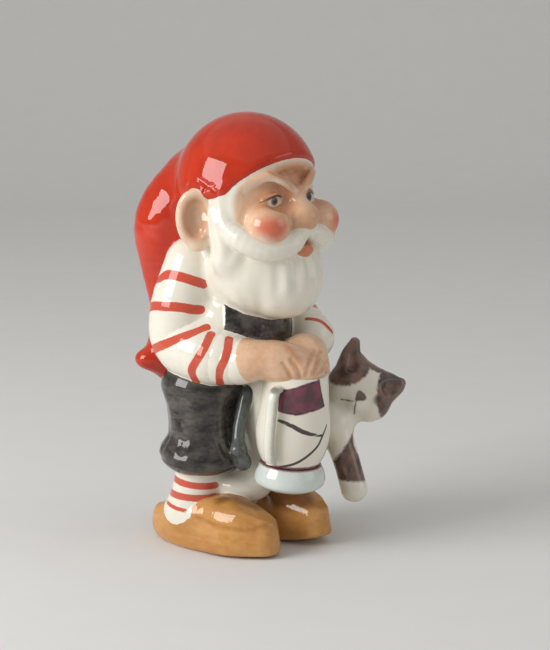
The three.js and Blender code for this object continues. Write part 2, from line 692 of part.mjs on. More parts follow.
class Lattice {
  constructor(piece, box, cell) {
    this.piece = piece;
    this.cell = cell;
    this.start = box.min.clone().divideScalar(cell).floor().subScalar(1);
    this.count = box.max.clone().divideScalar(cell).ceil().addScalar(2).sub(this.start);
    this.stride = [1, this.count.x, this.count.x * this.count.y];
    this.values = new Float64Array(this.count.x * this.count.y * this.count.z).fill(1);
    this.sample();
  }

  place(i, j, k) {
    return new THREE.Vector3(i, j, k).add(this.start).multiplyScalar(this.cell);
  }

  * nodes(margin) {
    for (let k = margin; k < this.count.z - margin; k += 1) {
      for (let j = margin; j < this.count.y - margin; j += 1) {
        for (let i = margin; i < this.count.x - margin; i += 1) {
          yield [i, j, k, i + this.stride[1] * j + this.stride[2] * k];
        }
      }
    }
  }

  sample() {
    for (const [i, j, k, index] of this.nodes(1)) {
      const { x, y, z } = this.place(i, j, k);
      const rough = fields[this.piece](x, y, z);
      this.values[index] = rough > 2 * this.cell ? rough : pieceDistance(this.piece, x, y, z);
    }
  }

  // Of two inside nodes that touch only at a corner, the shallower one is given up
  giveUp(a, b) {
    const shallow = this.values[a] > this.values[b] ? a : b;
    this.values[shallow] = 1e-3;
  }

  openPinches() {
    let found = true;
    while (found) {
      found = false;
      for (const [, , , index] of this.nodes(1)) {
        for (const [s, t] of [[0, 1], [0, 2], [1, 2]]) {
          const corners = [0, this.stride[s], this.stride[t], this.stride[s] + this.stride[t]].map((d) => index + d);
          const inside = corners.map((corner) => this.values[corner] < 0);
          if (inside[0] === inside[3] && inside[1] === inside[2] && inside[0] !== inside[1]) {
            const pair = inside[0] ? [corners[0], corners[3]] : [corners[1], corners[2]];
            this.giveUp(...pair);
            found = true;
          }
        }
        const [sx, sy, sz] = this.stride;
        const corners = [0, sx, sy, sx + sy, sz, sx + sz, sy + sz, sx + sy + sz].map((d) => index + d);
        const inside = corners.filter((corner) => this.values[corner] < 0);
        if (inside.length === 2 && corners.indexOf(inside[0]) + corners.indexOf(inside[1]) === 7) {
          this.giveUp(...inside);
          found = true;
        }
        const outside = corners.filter((corner) => this.values[corner] >= 0);
        if (outside.length === 2 && corners.indexOf(outside[0]) + corners.indexOf(outside[1]) === 7) {
          this.giveUp(inside[0], inside[1]);
          found = true;
        }
      }
    }
  }

  // Stray crumbs of clay, cut off by a neighbour, are dropped
  keepLargest() {
    const group = new Int32Array(this.values.length);
    const sizes = [0];
    for (const [, , , seed] of this.nodes(1)) {
      if (this.values[seed] < 0 && group[seed] === 0) {
        const name = sizes.length;
        const queue = [seed];
        group[seed] = name;
        sizes.push(0);
        while (queue.length > 0) {
          const node = queue.pop();
          sizes[name] += 1;
          for (const step of this.stride.flatMap((s) => [s, -s])) {
            if (this.values[node + step] < 0 && group[node + step] === 0) {
              group[node + step] = name;
              queue.push(node + step);
            }
          }
        }
      }
    }
    const largest = sizes.indexOf(Math.max(...sizes));
    group.forEach((name, index) => {
      if (name !== 0 && name !== largest) {
        this.values[index] = 1e-3;
      }
    });
  }

  // The tangent plane of the piece's surface where a lattice edge crosses it
  tangentAt(point) {
    const step = 0.1;
    const distance = (dx, dy, dz) => pieceDistance(this.piece, point.x + dx, point.y + dy, point.z + dz);
    const here = distance(0, 0, 0);
    const slope = new THREE.Vector3(
      distance(step, 0, 0) - here,
      distance(0, step, 0) - here,
      distance(0, 0, step) - here,
    ).divideScalar(step);
    const fall = Math.max(0.3, slope.length());
    const normal = slope.normalize();
    const reach = THREE.MathUtils.clamp(here / fall, -this.cell / 2, this.cell / 2);
    return { normal, foot: point.addScaledVector(normal, -reach) };
  }

  // The vertex of a cell is where its tangent planes meet, so seams keep their edges
  cellVertex(i, j, k, index) {
    const [sx, sy, sz] = this.stride;
    const planes = [];
    for (const [dx, dy, dz, axis] of CELL_EDGES) {
      const a = this.values[index + dx * sx + dy * sy + dz * sz];
      const b = this.values[index + dx * sx + dy * sy + dz * sz + this.stride[axis]];
      if ((a < 0) !== (b < 0)) {
        const corner = new THREE.Vector3(i + dx, j + dy, k + dz);
        corner.setComponent(axis, corner.getComponent(axis) + a / (a - b));
        planes.push(this.tangentAt(this.place(corner.x, corner.y, corner.z)));
      }
    }
    if (planes.length === 0) {
      return null;
    }
    const mean = new THREE.Vector3();
    planes.forEach(({ foot }) => mean.addScaledVector(foot, 1 / planes.length));
    const vertex = mean.clone();
    for (let pass = 0; pass < 24; pass += 1) {
      const pull = new THREE.Vector3();
      for (const { normal, foot } of planes) {
        pull.addScaledVector(normal, foot.clone().sub(vertex).dot(normal) / planes.length);
      }
      vertex.add(pull);
    }
    vertex.sub(mean).clampLength(0, this.cell * 0.5).add(mean);
    return this.tangentAt(vertex.clone()).foot;
  }

  geometry() {
    this.openPinches();
    this.keepLargest();
    this.openPinches();
    const vertices = [];
    const names = new Int32Array(this.values.length).fill(-1);
    for (const [i, j, k, index] of this.nodes(0)) {
      if (i < this.count.x - 1 && j < this.count.y - 1 && k < this.count.z - 1) {
        const vertex = this.cellVertex(i, j, k, index);
        if (vertex) {
          names[index] = vertices.length;
          vertices.push(vertex);
        }
      }
    }
    const triangles = [];
    for (const [, , , index] of this.nodes(1)) {
      for (const [axis, s, t] of [[0, 1, 2], [1, 2, 0], [2, 0, 1]]) {
        const inside = this.values[index] < 0;
        if (inside !== this.values[index + this.stride[axis]] < 0) {
          const around = [0, this.stride[s], this.stride[s] + this.stride[t], this.stride[t]];
          const quad = around.map((step) => names[index - step]);
          triangles.push(...splitQuad(inside ? quad : quad.reverse(), vertices));
        }
      }
    }
    const geometry = new THREE.BufferGeometry();
    geometry.setFromPoints(vertices);
    geometry.setIndex(triangles);
    return geometry;
  }
}

const CELL_EDGES = [0, 1, 2].flatMap((axis) => [0, 1].flatMap((s) => [0, 1].map((t) => {
  const corner = [0, 0, 0];
  corner[(axis + 1) % 3] = s;
  corner[(axis + 2) % 3] = t;
  return [...corner, axis];
})));

function splitQuad([a, b, c, d], vertices) {
  const acrossAC = vertices[a].distanceTo(vertices[c]);
  const acrossBD = vertices[b].distanceTo(vertices[d]);
  return acrossAC < acrossBD ? [a, b, c, a, c, d] : [a, b, d, b, c, d];
}

function clayBox(form) {
  const box = new THREE.Box3();
  const scan = 3;
  for (let x = -36; x <= 54; x += scan) {
    for (let y = -45; y <= 45; y += scan) {
      for (let z = -6; z <= 138; z += scan) {
        if (form(x, y, z) < scan) {
          box.expandByPoint(new THREE.Vector3(x, y, z));
        }
      }
    }
  }
  return box;
}

function solidOf(geometry, grow = 0) {
  geometry.computeVertexNormals();
  const normals = geometry.getAttribute('normal').array;
  const grown = geometry.getAttribute('position').array.map((value, i) => value + grow * normals[i]);
  return new wasm.Manifold(new wasm.Mesh({
    numProp: 3,
    vertProperties: new Float32Array(grown),
    triVerts: new Uint32Array(geometry.getIndex().array),
  }));
}

// The clogs stand on flat ground soles
function groundFlat(geometry) {
  const mesh = solidOf(geometry).trimByPlane([0, 0, 1], 0).getMesh();
  const flat = new THREE.BufferGeometry();
  flat.setAttribute('position', new THREE.BufferAttribute(new Float32Array(mesh.vertProperties), 3));
  flat.setIndex([...mesh.triVerts]);
  return flat;
}

// The vertices of one piece that lie near an overlap step back into their own clay
function stepBack(geometry, zone, reach) {
  const position = geometry.getAttribute('position');
  const normal = geometry.getAttribute('normal');
  const corner = new THREE.Vector3();
  const outward = new THREE.Vector3();
  for (let i = 0; i < position.count; i += 1) {
    corner.fromBufferAttribute(position, i);
    if (zone.some((point) => point.distanceTo(corner) < reach)) {
      outward.fromBufferAttribute(normal, i);
      corner.addScaledVector(outward, -LEAST_GAP);
      position.setXYZ(i, corner.x, corner.y, Math.max(0, corner.z));
    }
  }
}

function cornersOf(solid) {
  const { vertProperties, numProp } = solid.getMesh();
  const count = vertProperties.length / numProp;
  return Array.from({ length: count }, (_, i) => new THREE.Vector3().fromArray(vertProperties, i * numProp));
}

// Flat facets can bridge a curved seam: such pieces are eased apart until all are clear
function easeApart(pieces) {
  for (let pass = 0; pass < 20; pass += 1) {
    const solids = pieces.map(({ geometry }) => solidOf(geometry, LEAST_GAP / 2));
    const zones = pieces.map(() => []);
    for (let a = 0; a < pieces.length; a += 1) {
      for (let b = a + 1; b < pieces.length; b += 1) {
        const overlap = solids[a].intersect(solids[b]);
        if (!overlap.isEmpty()) {
          const corners = cornersOf(overlap);
          zones[a].push(...corners);
          zones[b].push(...corners);
        }
      }
    }
    if (zones.every((zone) => zone.length === 0)) {
      return;
    }
    pieces.forEach(({ geometry, cell }, index) => {
      if (cell > 0) {
        stepBack(geometry, zones[index], cell * 0.8);
      }
    });
  }
}

function glazed(name, geometry, [color, roughness]) {
  geometry.computeVertexNormals();
  const mesh = new THREE.Mesh(geometry, new THREE.MeshStandardMaterial({ color, roughness, metalness: 0 }));
  mesh.name = name;
  return mesh;
}

function welded(geometry) {
  geometry.deleteAttribute('normal');
  geometry.deleteAttribute('uv');
  return mergeVertices(geometry, 1e-4);
}

const jugPieces = [
  ['jug_foot', turned(footProfile), TEAL],
  ['jug_body', turned(bodyProfile), WHITE],
  ['jug_handle', handleStrap(), WHITE],
].map(([name, geometry, glaze]) => {
  const frame = jugPlace(new THREE.Object3D());
  frame.updateMatrixWorld();
  return { name, geometry: welded(geometry).applyMatrix4(frame.matrixWorld), glaze, cell: 0 };
});

const pieces = clayPieces.map(([name, form, glaze, cell], index) => {
  const shell = new Lattice(index, clayBox(form), cell).geometry();
  return { name, geometry: name.startsWith('clog') ? groundFlat(shell) : shell, glaze, cell };
}).concat(jugPieces);

easeApart(pieces);

const figurine = new THREE.Group();
pieces.forEach(({ name, geometry, glaze }) => figurine.add(glazed(name, geometry, glaze)));

// The figure stands on z = 0, with the middle of its box over the origin
figurine.updateMatrixWorld(true);
const extent = new THREE.Box3().setFromObject(figurine, true);
figurine.position.set(-(extent.min.x + extent.max.x) / 2, -(extent.min.y + extent.max.y) / 2, -extent.min.z);

export default figurine;
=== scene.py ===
import math

import bpy
import numpy as np
from bpy.props import FloatProperty, FloatVectorProperty, PointerProperty
from mathutils import Euler, Matrix, Vector


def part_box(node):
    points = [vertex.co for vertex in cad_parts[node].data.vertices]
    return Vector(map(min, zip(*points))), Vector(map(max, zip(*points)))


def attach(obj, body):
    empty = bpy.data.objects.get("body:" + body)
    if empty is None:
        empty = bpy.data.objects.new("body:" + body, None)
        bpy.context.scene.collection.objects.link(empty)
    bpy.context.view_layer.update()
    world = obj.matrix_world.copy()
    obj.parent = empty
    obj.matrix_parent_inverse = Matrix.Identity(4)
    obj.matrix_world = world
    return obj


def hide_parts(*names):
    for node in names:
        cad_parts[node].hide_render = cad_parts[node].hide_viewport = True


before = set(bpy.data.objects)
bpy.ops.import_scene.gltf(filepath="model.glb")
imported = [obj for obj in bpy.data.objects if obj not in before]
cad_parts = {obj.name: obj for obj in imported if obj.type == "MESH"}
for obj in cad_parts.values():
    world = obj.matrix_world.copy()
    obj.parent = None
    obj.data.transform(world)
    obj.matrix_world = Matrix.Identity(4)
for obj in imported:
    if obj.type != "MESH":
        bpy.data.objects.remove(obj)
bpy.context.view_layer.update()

bl_info = {
    "name": "Porcelain Gnome Figurine",
    "version": (1, 0, 0),
    "blender": (4, 5, 0),
    "location": "View3D > Sidebar > Gnome",
    "description": "Models, paints and glazes a porcelain gnome with a jug and a cat",
    "category": "Object",
}

MM = 0.001
FAR = 1e3


def srgb(red, green, blue):
    """A colour from its 0 to 255 display values, as the linear value a shader takes."""
    shares = [value / 255 for value in (red, green, blue)]
    linear = [v / 12.92 if v <= 0.04045 else ((v + 0.055) / 1.055) ** 2.4 for v in shares]
    return (*linear, 1.0)


# Sizes and colours


def length(name, description, default):
    """A length property, given in millimetres and kept in metres."""
    return FloatProperty(
        name=name, description=description, default=default * MM, min=0.1 * MM, unit="LENGTH", precision=4
    )


def colour(name, description, default):
    """A colour property, given as 0 to 255 display values."""
    return FloatVectorProperty(
        name=name, description=description, default=srgb(*default), size=4, min=0, max=1, subtype="COLOR"
    )


class GNOME_PG_sizes(bpy.types.PropertyGroup):
    """The figurine's driving sizes."""

    stance: length("Stance", "From the middle of the figure to the middle of a leg", 12.2)
    clog_width: length("Clog width", "Across the ball of one clog", 15.6)
    stocking_radius: length("Stocking radius", "Radius of the stocking above the clog", 7)
    hem_radius: length("Hem radius", "Radius of the gathered hem below the knee", 12.8)
    thigh_radius: length("Thigh radius", "Radius of one leg of the breeches", 11.2)
    belly_width: length("Belly width", "Across the trunk at its fullest", 35)
    belly_depth: length("Belly depth", "Front to back of the trunk at its fullest", 36)
    shoulder_spread: length("Shoulder spread", "Across the shoulders without the sleeves", 30)
    sleeve_radius: length("Sleeve radius", "Radius of the sleeve at the elbow", 9.6)
    cuff_radius: length("Cuff radius", "Radius of the sleeve at the wrist", 6.6)
    finger_radius: length("Finger radius", "Radius of one finger", 1.9)
    head_width: length("Head width", "Across the head at the temples", 38.5)
    nose_radius: length("Nose radius", "Radius of the ball of the nose", 4.7)
    cheek_radius: length("Cheek radius", "Radius of one apple cheek", 6.4)
    ear_height: length("Ear height", "From the lobe to the top of an ear", 17.6)
    beard_width: length("Beard width", "Across the beard at its fullest", 35.5)
    beard_length: length("Beard length", "From the top of the beard to its lower edge", 30.8)
    moustache_radius: length("Moustache radius", "Radius of the moustache at its fullest", 4.3)
    cap_top: length("Cap top", "Height of the top of the cap above the ground", 129.7)
    cap_width: length("Cap width", "Across the cap's crown", 41.3)
    tail_radius: length("Cap tail radius", "Radius of the slack tail of the cap at the neck", 13.8)
    jug_height: length("Jug height", "From the jug's foot to its rim", 35)
    jug_belly_radius: length("Jug belly radius", "Radius of the jug at its fullest", 11)
    jug_foot_radius: length("Jug foot radius", "Radius of the jug's foot", 10.6)
    handle_width: length("Handle width", "Across the strap handle", 3.4)
    cat_head_width: length("Cat head width", "Across the cat's head at the cheeks", 21)
    cat_leg_radius: length("Cat leg radius", "Radius of the cat's hanging foreleg", 4.1)


class GNOME_PG_colours(bpy.types.PropertyGroup):
    """The colours of the glaze and of the paint under it."""

    white: colour("White", "Bare porcelain under clear glaze", (234, 228, 213))
    red: colour("Cap red", "Iron red of the cap", (204, 50, 10))
    deep_red: colour("Deep cap red", "Where the red lies thicker", (150, 34, 14))
    stripe: colour("Stripe red", "Red of the shirt and stocking stripes", (198, 60, 2))
    skin: colour("Skin", "Face and hands", (233, 196, 162))
    tan: colour("Tan", "Shaded skin in the eye sockets, ears and between the fingers", (190, 122, 78))
    blush: colour("Blush", "Cheeks", (214, 94, 66))
    lip: colour("Lip", "Lower lip", (214, 128, 92))
    iris: colour("Iris", "Grey of the eyes", (84, 88, 94))
    ink: colour("Ink", "Near-black lines of the eyes and of the jug", (38, 32, 32))
    grey: colour("Grey", "Vest and breeches", (90, 84, 78))
    charcoal: colour("Charcoal", "Where the grey lies thicker", (34, 31, 29))
    slate: colour("Slate", "Greenish grey of the knee ties", (94, 101, 96))
    ochre: colour("Ochre", "Wooden clogs", (216, 160, 92))
    umber: colour("Umber", "Where the ochre lies thicker", (150, 92, 38))
    deep_umber: colour("Deep umber", "Shaded tops of the clogs, and the mouth", (112, 66, 32))
    teal: colour("Pale teal", "Tint of the jug's foot", (203, 214, 211))
    purple: colour("Purple", "Panel on the jug", (116, 28, 64))
    deep_purple: colour("Deep purple", "Outline of the panel on the jug", (66, 14, 38))
    maroon: colour("Maroon", "Line round the jug's foot", (130, 48, 62))
    fur: colour("Fur", "Brown patches of the cat", (126, 90, 76))
    deep_fur: colour("Deep fur", "Where the brown lies thicker", (62, 40, 35))


# Clay tools: each gives a function from points, in design millimetres, to signed distances


def egg(centre, half, turn=(0, 0, 0)):
    """An ellipsoid, turned by degrees about X, then Y, then Z."""
    axes = np.array(Euler([math.radians(angle) for angle in turn]).to_matrix(), np.float32)
    half = np.array(half, np.float32)
    centre = np.array(centre, np.float32)

    def distance(p):
        q = (p - centre) @ axes / half
        outer = np.sqrt(np.einsum("ij,ij->i", q, q))
        q /= half
        inner = np.sqrt(np.einsum("ij,ij->i", q, q))
        return np.where(inner < 1e-7, -half.min(), outer * (outer - 1) / np.maximum(inner, 1e-7))

    return distance


def eased(points, steps):
    """The same run of points with a smooth curve put through it."""
    ends = np.array(points, float)
    if len(ends) < 3:
        return ends
    before = np.vstack([2 * ends[0] - ends[1], ends, 2 * ends[-1] - ends[-2]])
    run = []
    for a, b, c, d in zip(before[:-3], before[1:-2], before[2:-1], before[3:]):
        for t in np.arange(steps) / steps:
            bend = 2 * a - 5 * b + 4 * c - d
            run.append(0.5 * (2 * b + (c - a) * t + bend * t**2 + (3 * b - a - 3 * c + d) * t**3))
    return np.array([*run, ends[-1]])


def limb(points, weights=(1, 1, 1), steps=4):
    """A tapered run of clay through points (x, y, z, radius)."""
    run = eased(points, steps).astype(np.float32)
    weights = np.array(weights, np.float32)

    def distance(p):
        nearest = np.full(len(p), FAR, np.float32)
        x, y, z = (p * weights).T.copy()
        for a, b in zip(run[:-1], run[1:]):
            u = (b[:3] - a[:3]) * weights
            ax, ay, az = a[:3] * weights
            rx, ry, rz = x - ax, y - ay, z - az
            t = np.clip((rx * u[0] + ry * u[1] + rz * u[2]) / max(u @ u, 1e-9), 0, 1)
            rx -= t * u[0]
            ry -= t * u[1]
            rz -= t * u[2]
            away = np.sqrt(rx * rx + ry * ry + rz * rz)
            np.minimum(nearest, away - a[3] - t * (b[3] - a[3]), out=nearest)
        return nearest

    return distance


def soft_min(a, b, k):
    """The smaller of two distances, rounded over where they are within k of each other."""
    h = np.maximum(k - np.abs(a - b), 0) / k
    return np.minimum(a, b) - h * h * k / 4


def blend(k, *forms):
    """Forms pressed together, with a fillet."""

    def distance(p):
        total = forms[0](p)
        for form in forms[1:]:
            total = soft_min(total, form(p), k)
        return total

    return distance


def carve(k, form, *tools):
    """A form with tools pressed into it."""

    def distance(p):
        left = form(p)
        for tool in tools:
            left = -soft_min(-left, tool(p), k)
        return left

    return distance


def common(k, *forms):
    """What all the forms share, with rounded edges."""

    def distance(p):
        total = -forms[0](p)
        for form in forms[1:]:
            total = soft_min(total, -form(p), k)
        return -total

    return distance


def half_space(point, normal):
    """Everything on the side that the normal points away from."""
    normal = (np.array(normal) / np.linalg.norm(normal)).astype(np.float32)
    point = np.array(point, np.float32)
    return lambda p: (p - point) @ normal


def step(value, low, high):
    """0 below low and 1 above high, smooth between; low may be the larger."""
    t = np.clip((value - low) / (high - low), 0, 1)
    return t * t * (3 - 2 * t)


def worked(form, *strokes):
    """A form with shallow tool strokes added to its surface; each stroke gives its depth at points."""
    return lambda p: form(p) + sum(stroke(p) for stroke in strokes)


def both(make):
    """The same mark for the right side (-1) and the left side (+1), as one form."""
    pair = [make(-1), make(1)]
    return lambda p: np.minimum(pair[0](p), pair[1](p))


# Legs


def clog(size, side):
    step_out, forward, toe_lift = (1.5, 2.2, 0.22) if side > 0 else (0, 0, 0.06)
    middle = side * size.stance + step_out
    toe_x = middle - side * 2.4
    wide = size.clog_width / 2
    outline = limb(
        [
            (middle + side, 12.2 - forward, 0, 7.8),
            (middle, -4 - forward, 0, wide),
            (middle - side, -12 - forward, 0, wide + 0.8),
            (toe_x, -20.4 - forward, 0, 5.6),
        ],
        (1, 1, 0),
        6,
    )

    def walls(p):
        return outline(p) + 0.16 * np.maximum(0, p[:, 2] - 4)

    heel_top = half_space((0, 20, 10), (0, 0.24, 1))
    toe_top = half_space((0, -26 - forward, 10.5), (0, -0.4, 1))
    crown = egg((middle - side, -5 - forward, 4.5), (9.8, 27, 12.6), (2, 0, 0))
    inner_wall = egg((middle - side * 4.6, 1 - forward, 5), (4, 13, 8), (4, 0, 0))
    toe_sole = half_space((0, -12 - forward, 0), (0, -toe_lift, -1))
    block = common(1, walls, heel_top, toe_top, crown, toe_sole)
    ground = half_space((0, 0, -0.7), (0, 0, -1))
    body = common(3, blend(2, block, inner_wall), ground)
    sole = half_space((0, 0, 0), (0, 0, -1))
    return lambda p: np.maximum(body(p), sole(p))


def stocking(size, side):
    middle = side * size.stance
    radius = size.stocking_radius
    return limb(
        [
            (middle, -5, 9.5, radius - 1),
            (middle, 5, 9.5, radius + 1),
            (middle, 4.4, 13, radius + 0.6),
            (middle, 3, 20, radius),
            (middle, 2, 30, radius),
        ]
    )


def breeches_leg(size, side):
    middle = side * size.stance
    leg = limb(
        [
            (side * 10.6, 2.4, 47, size.thigh_radius),
            (middle - side * 0.3, 2, 39, size.thigh_radius - 1.4),
            (middle, 1.5, 30, size.thigh_radius - 1.2),
        ]
    )
    hem = egg((middle, 1, 28), (size.hem_radius, size.hem_radius + 0.3, 6.2), (5, 0, 0))
    seat = egg((side * 8, 4, 49), (13.4, 12, 8))
    body = common(1.2, blend(2.6, leg, hem, seat), half_space((0, 0, 22.9), (0, 0, -1)))

    def folds(p):
        around = np.arctan2(p[:, 1] - 2, side * (p[:, 0] - middle))
        slack = step(p[:, 2], 32, 37) * step(p[:, 2], 50, 44)
        gather = step(p[:, 2], 35.5, 32) * step(p[:, 2], 28.5, 31)
        lengthwise = 0.3 * np.sin(3 * around + 0.16 * p[:, 2]) + 0.18 * np.sin(7 * around - 0.25 * p[:, 2])
        crease = np.exp(-(((p[:, 2] - 27.2 - 0.5 * np.sin(3 * around)) / 0.8) ** 2))
        return slack * lengthwise + gather * 0.14 * np.sin(17 * around) + 0.3 * crease

    return worked(body, folds)


def knee_tie(size, side):
    inner = side * (size.stance - 7)
    strap = limb(
        [
            (inner, -10.4, 47, 2),
            (inner + side * 3.4, -10.8, 38, 1.9),
            (inner + side * 5.4, -11.8, 33, 1.8),
        ]
    )
    knot = egg((inner + side * 6.2, -12.9, 31.2), (2.7, 2.5, 2.3))
    bow = egg((inner + side * 4.8, -13.2, 27.4), (2.3, 2.8, 2.9), (0, side * 12, 0))
    crease = limb([(inner + side * 7.4, -15.3, 29.4, 0.4), (inner + side * 3, -15.9, 29.2, 0.4)])
    return carve(0.6, blend(1.4, strap, knot, bow), crease)


# Trunk and arms


def trunk(size):
    belly = egg((0, 0.5, 65), (size.belly_width / 2, size.belly_depth / 2, 17))
    shoulders = egg((0, 3.5, 83), (size.shoulder_spread / 2 + 2, 12, 13))
    return blend(5, belly, shoulders)


def vest(size):
    body = trunk(size)
    belly_front = 0.5 - size.belly_depth / 2

    def outside(p):
        return body(p) - 0.2

    def inside(p):
        return -body(p) - 6.5

    near_edge = half_space((-13.2, belly_front + 8, 0), (-1, 1.14, 0))
    far_edge = half_space((17, -8, 0), (1, 0.25, 0))
    return common(
        0.5,
        outside,
        inside,
        near_edge,
        far_edge,
        half_space((0, belly_front + 13.5, 0), (0, 1, 0)),
        half_space((0, 0, 52), (0, 0, -1)),
        half_space((0, 0, 77), (0, 0, 1)),
    )


def sleeve_right(size):
    out = 0.9 - size.shoulder_spread / 2
    return limb(
        [
            (out + 1.5, 4.5, 85, size.sleeve_radius - 1.6),
            (out - 0.6, 6.8, 72, size.sleeve_radius - 0.4),
            (out - 0.2, 6.4, 62.5, size.sleeve_radius),
            (out - 1, -3, 59.5, size.sleeve_radius - 0.4),
            (out + 1.4, -14.5, 57.9, size.cuff_radius + 0.2),
        ]
    )


def sleeve_left(size):
    out = size.shoulder_spread / 2
    return limb(
        [
            (out - 1.5, 4, 85, size.sleeve_radius - 1.6),
            (out + 3.6, -1, 72, size.sleeve_radius - 0.6),
            (out + 6, -6.5, 64.5, size.sleeve_radius - 1),
            (out + 2.8, -15.6, 61.3, size.cuff_radius + 0.9),
        ]
    )


def fingers(size, root, spacing, reach, count):
    rows = []
    for i in range(count):
        knuckle = [r + s * i for r, s in zip(root, spacing)]
        bend = [k + r for k, r in zip(knuckle, reach[0])]
        tip = [b + r for b, r in zip(bend, reach[1])]
        radius = size.finger_radius
        rows.append(limb([(*knuckle, radius + 0.3), (*bend, radius), (*tip, radius - 0.3)]))
    return blend(0.7, *rows)


def finger_lines(half):
    """The lines between the fingers that are laid over the jug."""
    return [
        limb([(*point, half) for point in run])
        for run in (
            [(-10.4, -29.3, 58.8), (-9.4, -30.4, 56.6), (-8.4, -30.8, 54.2)],
            [(-8.2, -30.4, 59.8), (-7.7, -31.5, 58.3), (-7, -32.5, 56.3), (-6.5, -32.5, 54.5)],
            [(3.3, -29.4, 60.4), (-1.3, -32.2, 59.8), (-3.7, -33.5, 58.3), (-5, -33.8, 56.6),
             (-5.3, -33.6, 55)],
            [(5.6, -30.2, 60.2), (1, -33, 58.8), (-1.6, -34.5, 57.4), (-3.2, -34.5, 55.4)],
            [(7.1, -31.6, 57.3), (2.4, -34.2, 56.4), (-1.1, -34.8, 55)],
        )
    ]


def hand_right():
    wrist = egg((-12, -17, 58.5), (6.4, 6.4, 6.2))
    palm = egg((-6.4, -22.6, 58.5), (10, 7.6, 5.8), (0, 6, -38))
    grip = egg((-2.4, -25.9, 56.2), (9.8, 8, 5.4), (0, 5, -49))
    return carve(0.9, blend(2.4, wrist, palm, grip), *finger_lines(0.45))


def hand_left(size):
    palm = egg((6.8, -22.6, 59.1), (8.2, 6.8, 5.4), (0, -8, 30))
    rows = fingers(size, (5.4, -27.6, 59.7), (1.9, 1.9, -0.2), ((1.4, -2, -2.2), (0.2, -0.8, -3.6)), 4)
    return carve(0.9, blend(1.6, palm, rows), *finger_lines(0.45))


# Head


def cap_egg(size, inset):
    """The egg that the cap is drawn over, made smaller all round by an inset."""
    half = size.cap_width / 2 - inset
    return egg((0, -6.2, size.cap_top - 21.5), (half, half + 0.8, 21.35 - inset))


def head(size):
    half = size.head_width / 2
    skull = egg((0, -6, 103), (half, half - 0.2, 20.5))
    jaw = egg((0, -12, 97), (half - 1.5, 15, 12))
    cheeks = [
        egg(
            (side * 11, -24.2, 98.2),
            (size.cheek_radius, size.cheek_radius - 0.2, size.cheek_radius - 0.4),
        )
        for side in (-1, 1)
    ]
    brow_path = [
        (13.8, -18.6, 110, 1),
        (11, -21.6, 111.7, 1.3),
        (8.4, -23.8, 111.9, 1.3),
        (5.2, -25.6, 110.2, 1.3),
        (1.8, -26.2, 107.6, 1.3),
    ]
    brows = [limb([(side * x, y, z, radius) for x, y, z, radius in brow_path]) for side in (-1, 1)]
    nose_at = (0, -27.8, 100.4)
    bridge = limb([(0, -24.8, 107, 2.2), (*nose_at, size.nose_radius - 1)])
    ball = egg(nose_at, (size.nose_radius, size.nose_radius + 0.2, size.nose_radius - 0.6))
    wings = [egg((side * 4, -26.8, 99.2), (2.4, 2.8, 2.3)) for side in (-1, 1)]
    sockets = [egg((side * 7.7, -26.6, 105.2), (4.6, 3.2, 2.6)) for side in (-1, 1)]
    eyes = [egg((side * 7.7, -20.9, 105.2), (3.3, 3.1, 2.6)) for side in (-1, 1)]
    lids = [
        limb([(side * 4.9, -23.9, 105.6, 0.45), (side * 7.6, -24.1, 107, 0.55), (side * 11, -22.2, 105.6, 0.4)])
        for side in (-1, 1)
    ]
    bags = [
        limb(
            [(side * 5.2, -24.2, 103.4, 0.4), (side * 8.2, -24.2, 102.7, 0.5), (side * 11, -22.6, 103.8, 0.35)]
        )
        for side in (-1, 1)
    ]
    frown = [
        limb([(side * 5.8, -24.4, 114, 0.4), (side * 2.6, -25.6, 111.4, 0.6), (0, -26.2, 109.6, 0.6)])
        for side in (-1, 1)
    ]
    smile = [
        limb([(side * 4.6, -28.6, 101.6, 0.4), (side * 5.4, -29, 97.6, 0.5)])
        for side in (-1, 1)
    ]
    up_to_brim = common(
        2,
        cap_egg(size, 1.3),
        half_space((0, -25.25, 115.2), (0, -0.88, -1)),
        half_space((0, -12, 0), (0, 1, 0)),
    )
    face = blend(2.2, blend(3.5, skull, jaw), *cheeks, *brows, up_to_brim)
    face = carve(0.8, carve(2, face, *sockets), *frown, *smile)
    face = blend(1.2, face, *eyes, blend(1.4, bridge, ball, *wings))
    return blend(0.5, face, *lids, *bags)


def ear(size, side):
    centre = Vector((side * (size.head_width / 2 + 1.05), -4.6, 99.6))
    turn = Euler((math.radians(8), 0, math.radians(side * 50))).to_matrix()
    tall = size.ear_height / 2

    def at(across, out, up):
        """A point from the ear's middle: across to the face, out of the bowl, and up."""
        return tuple(centre + turn @ Vector((-side * across, -out, up)))

    shell = egg(centre, (5.7, 3, tall), (8, 0, side * 50))
    around = [(1.2, -6.6), (-2.6, -5.6), (-4.3, -1.6), (-4.4, 3)]
    around += [(-2.6, tall - 2), (1.4, tall - 1.4), (3.8, 4.4)]
    rim = limb([(*at(across, 0.9, up), 1.05) for across, up in around])
    lobe = egg(at(0.6, 0.4, 1.6 - tall), (3, 2.2, 2.4), (8, 0, side * 50))
    bowl = egg(at(0.2, 2.7, 0.6), (3.6, 3.1, tall - 3), (8, 0, side * 50))
    flap = limb([(*at(4.3, 1.2, -1.2), 1.3), (*at(3.2, 2, -3.4), 1.2)])
    return blend(1, carve(1, blend(1.2, shell, rim, lobe), bowl), flap)


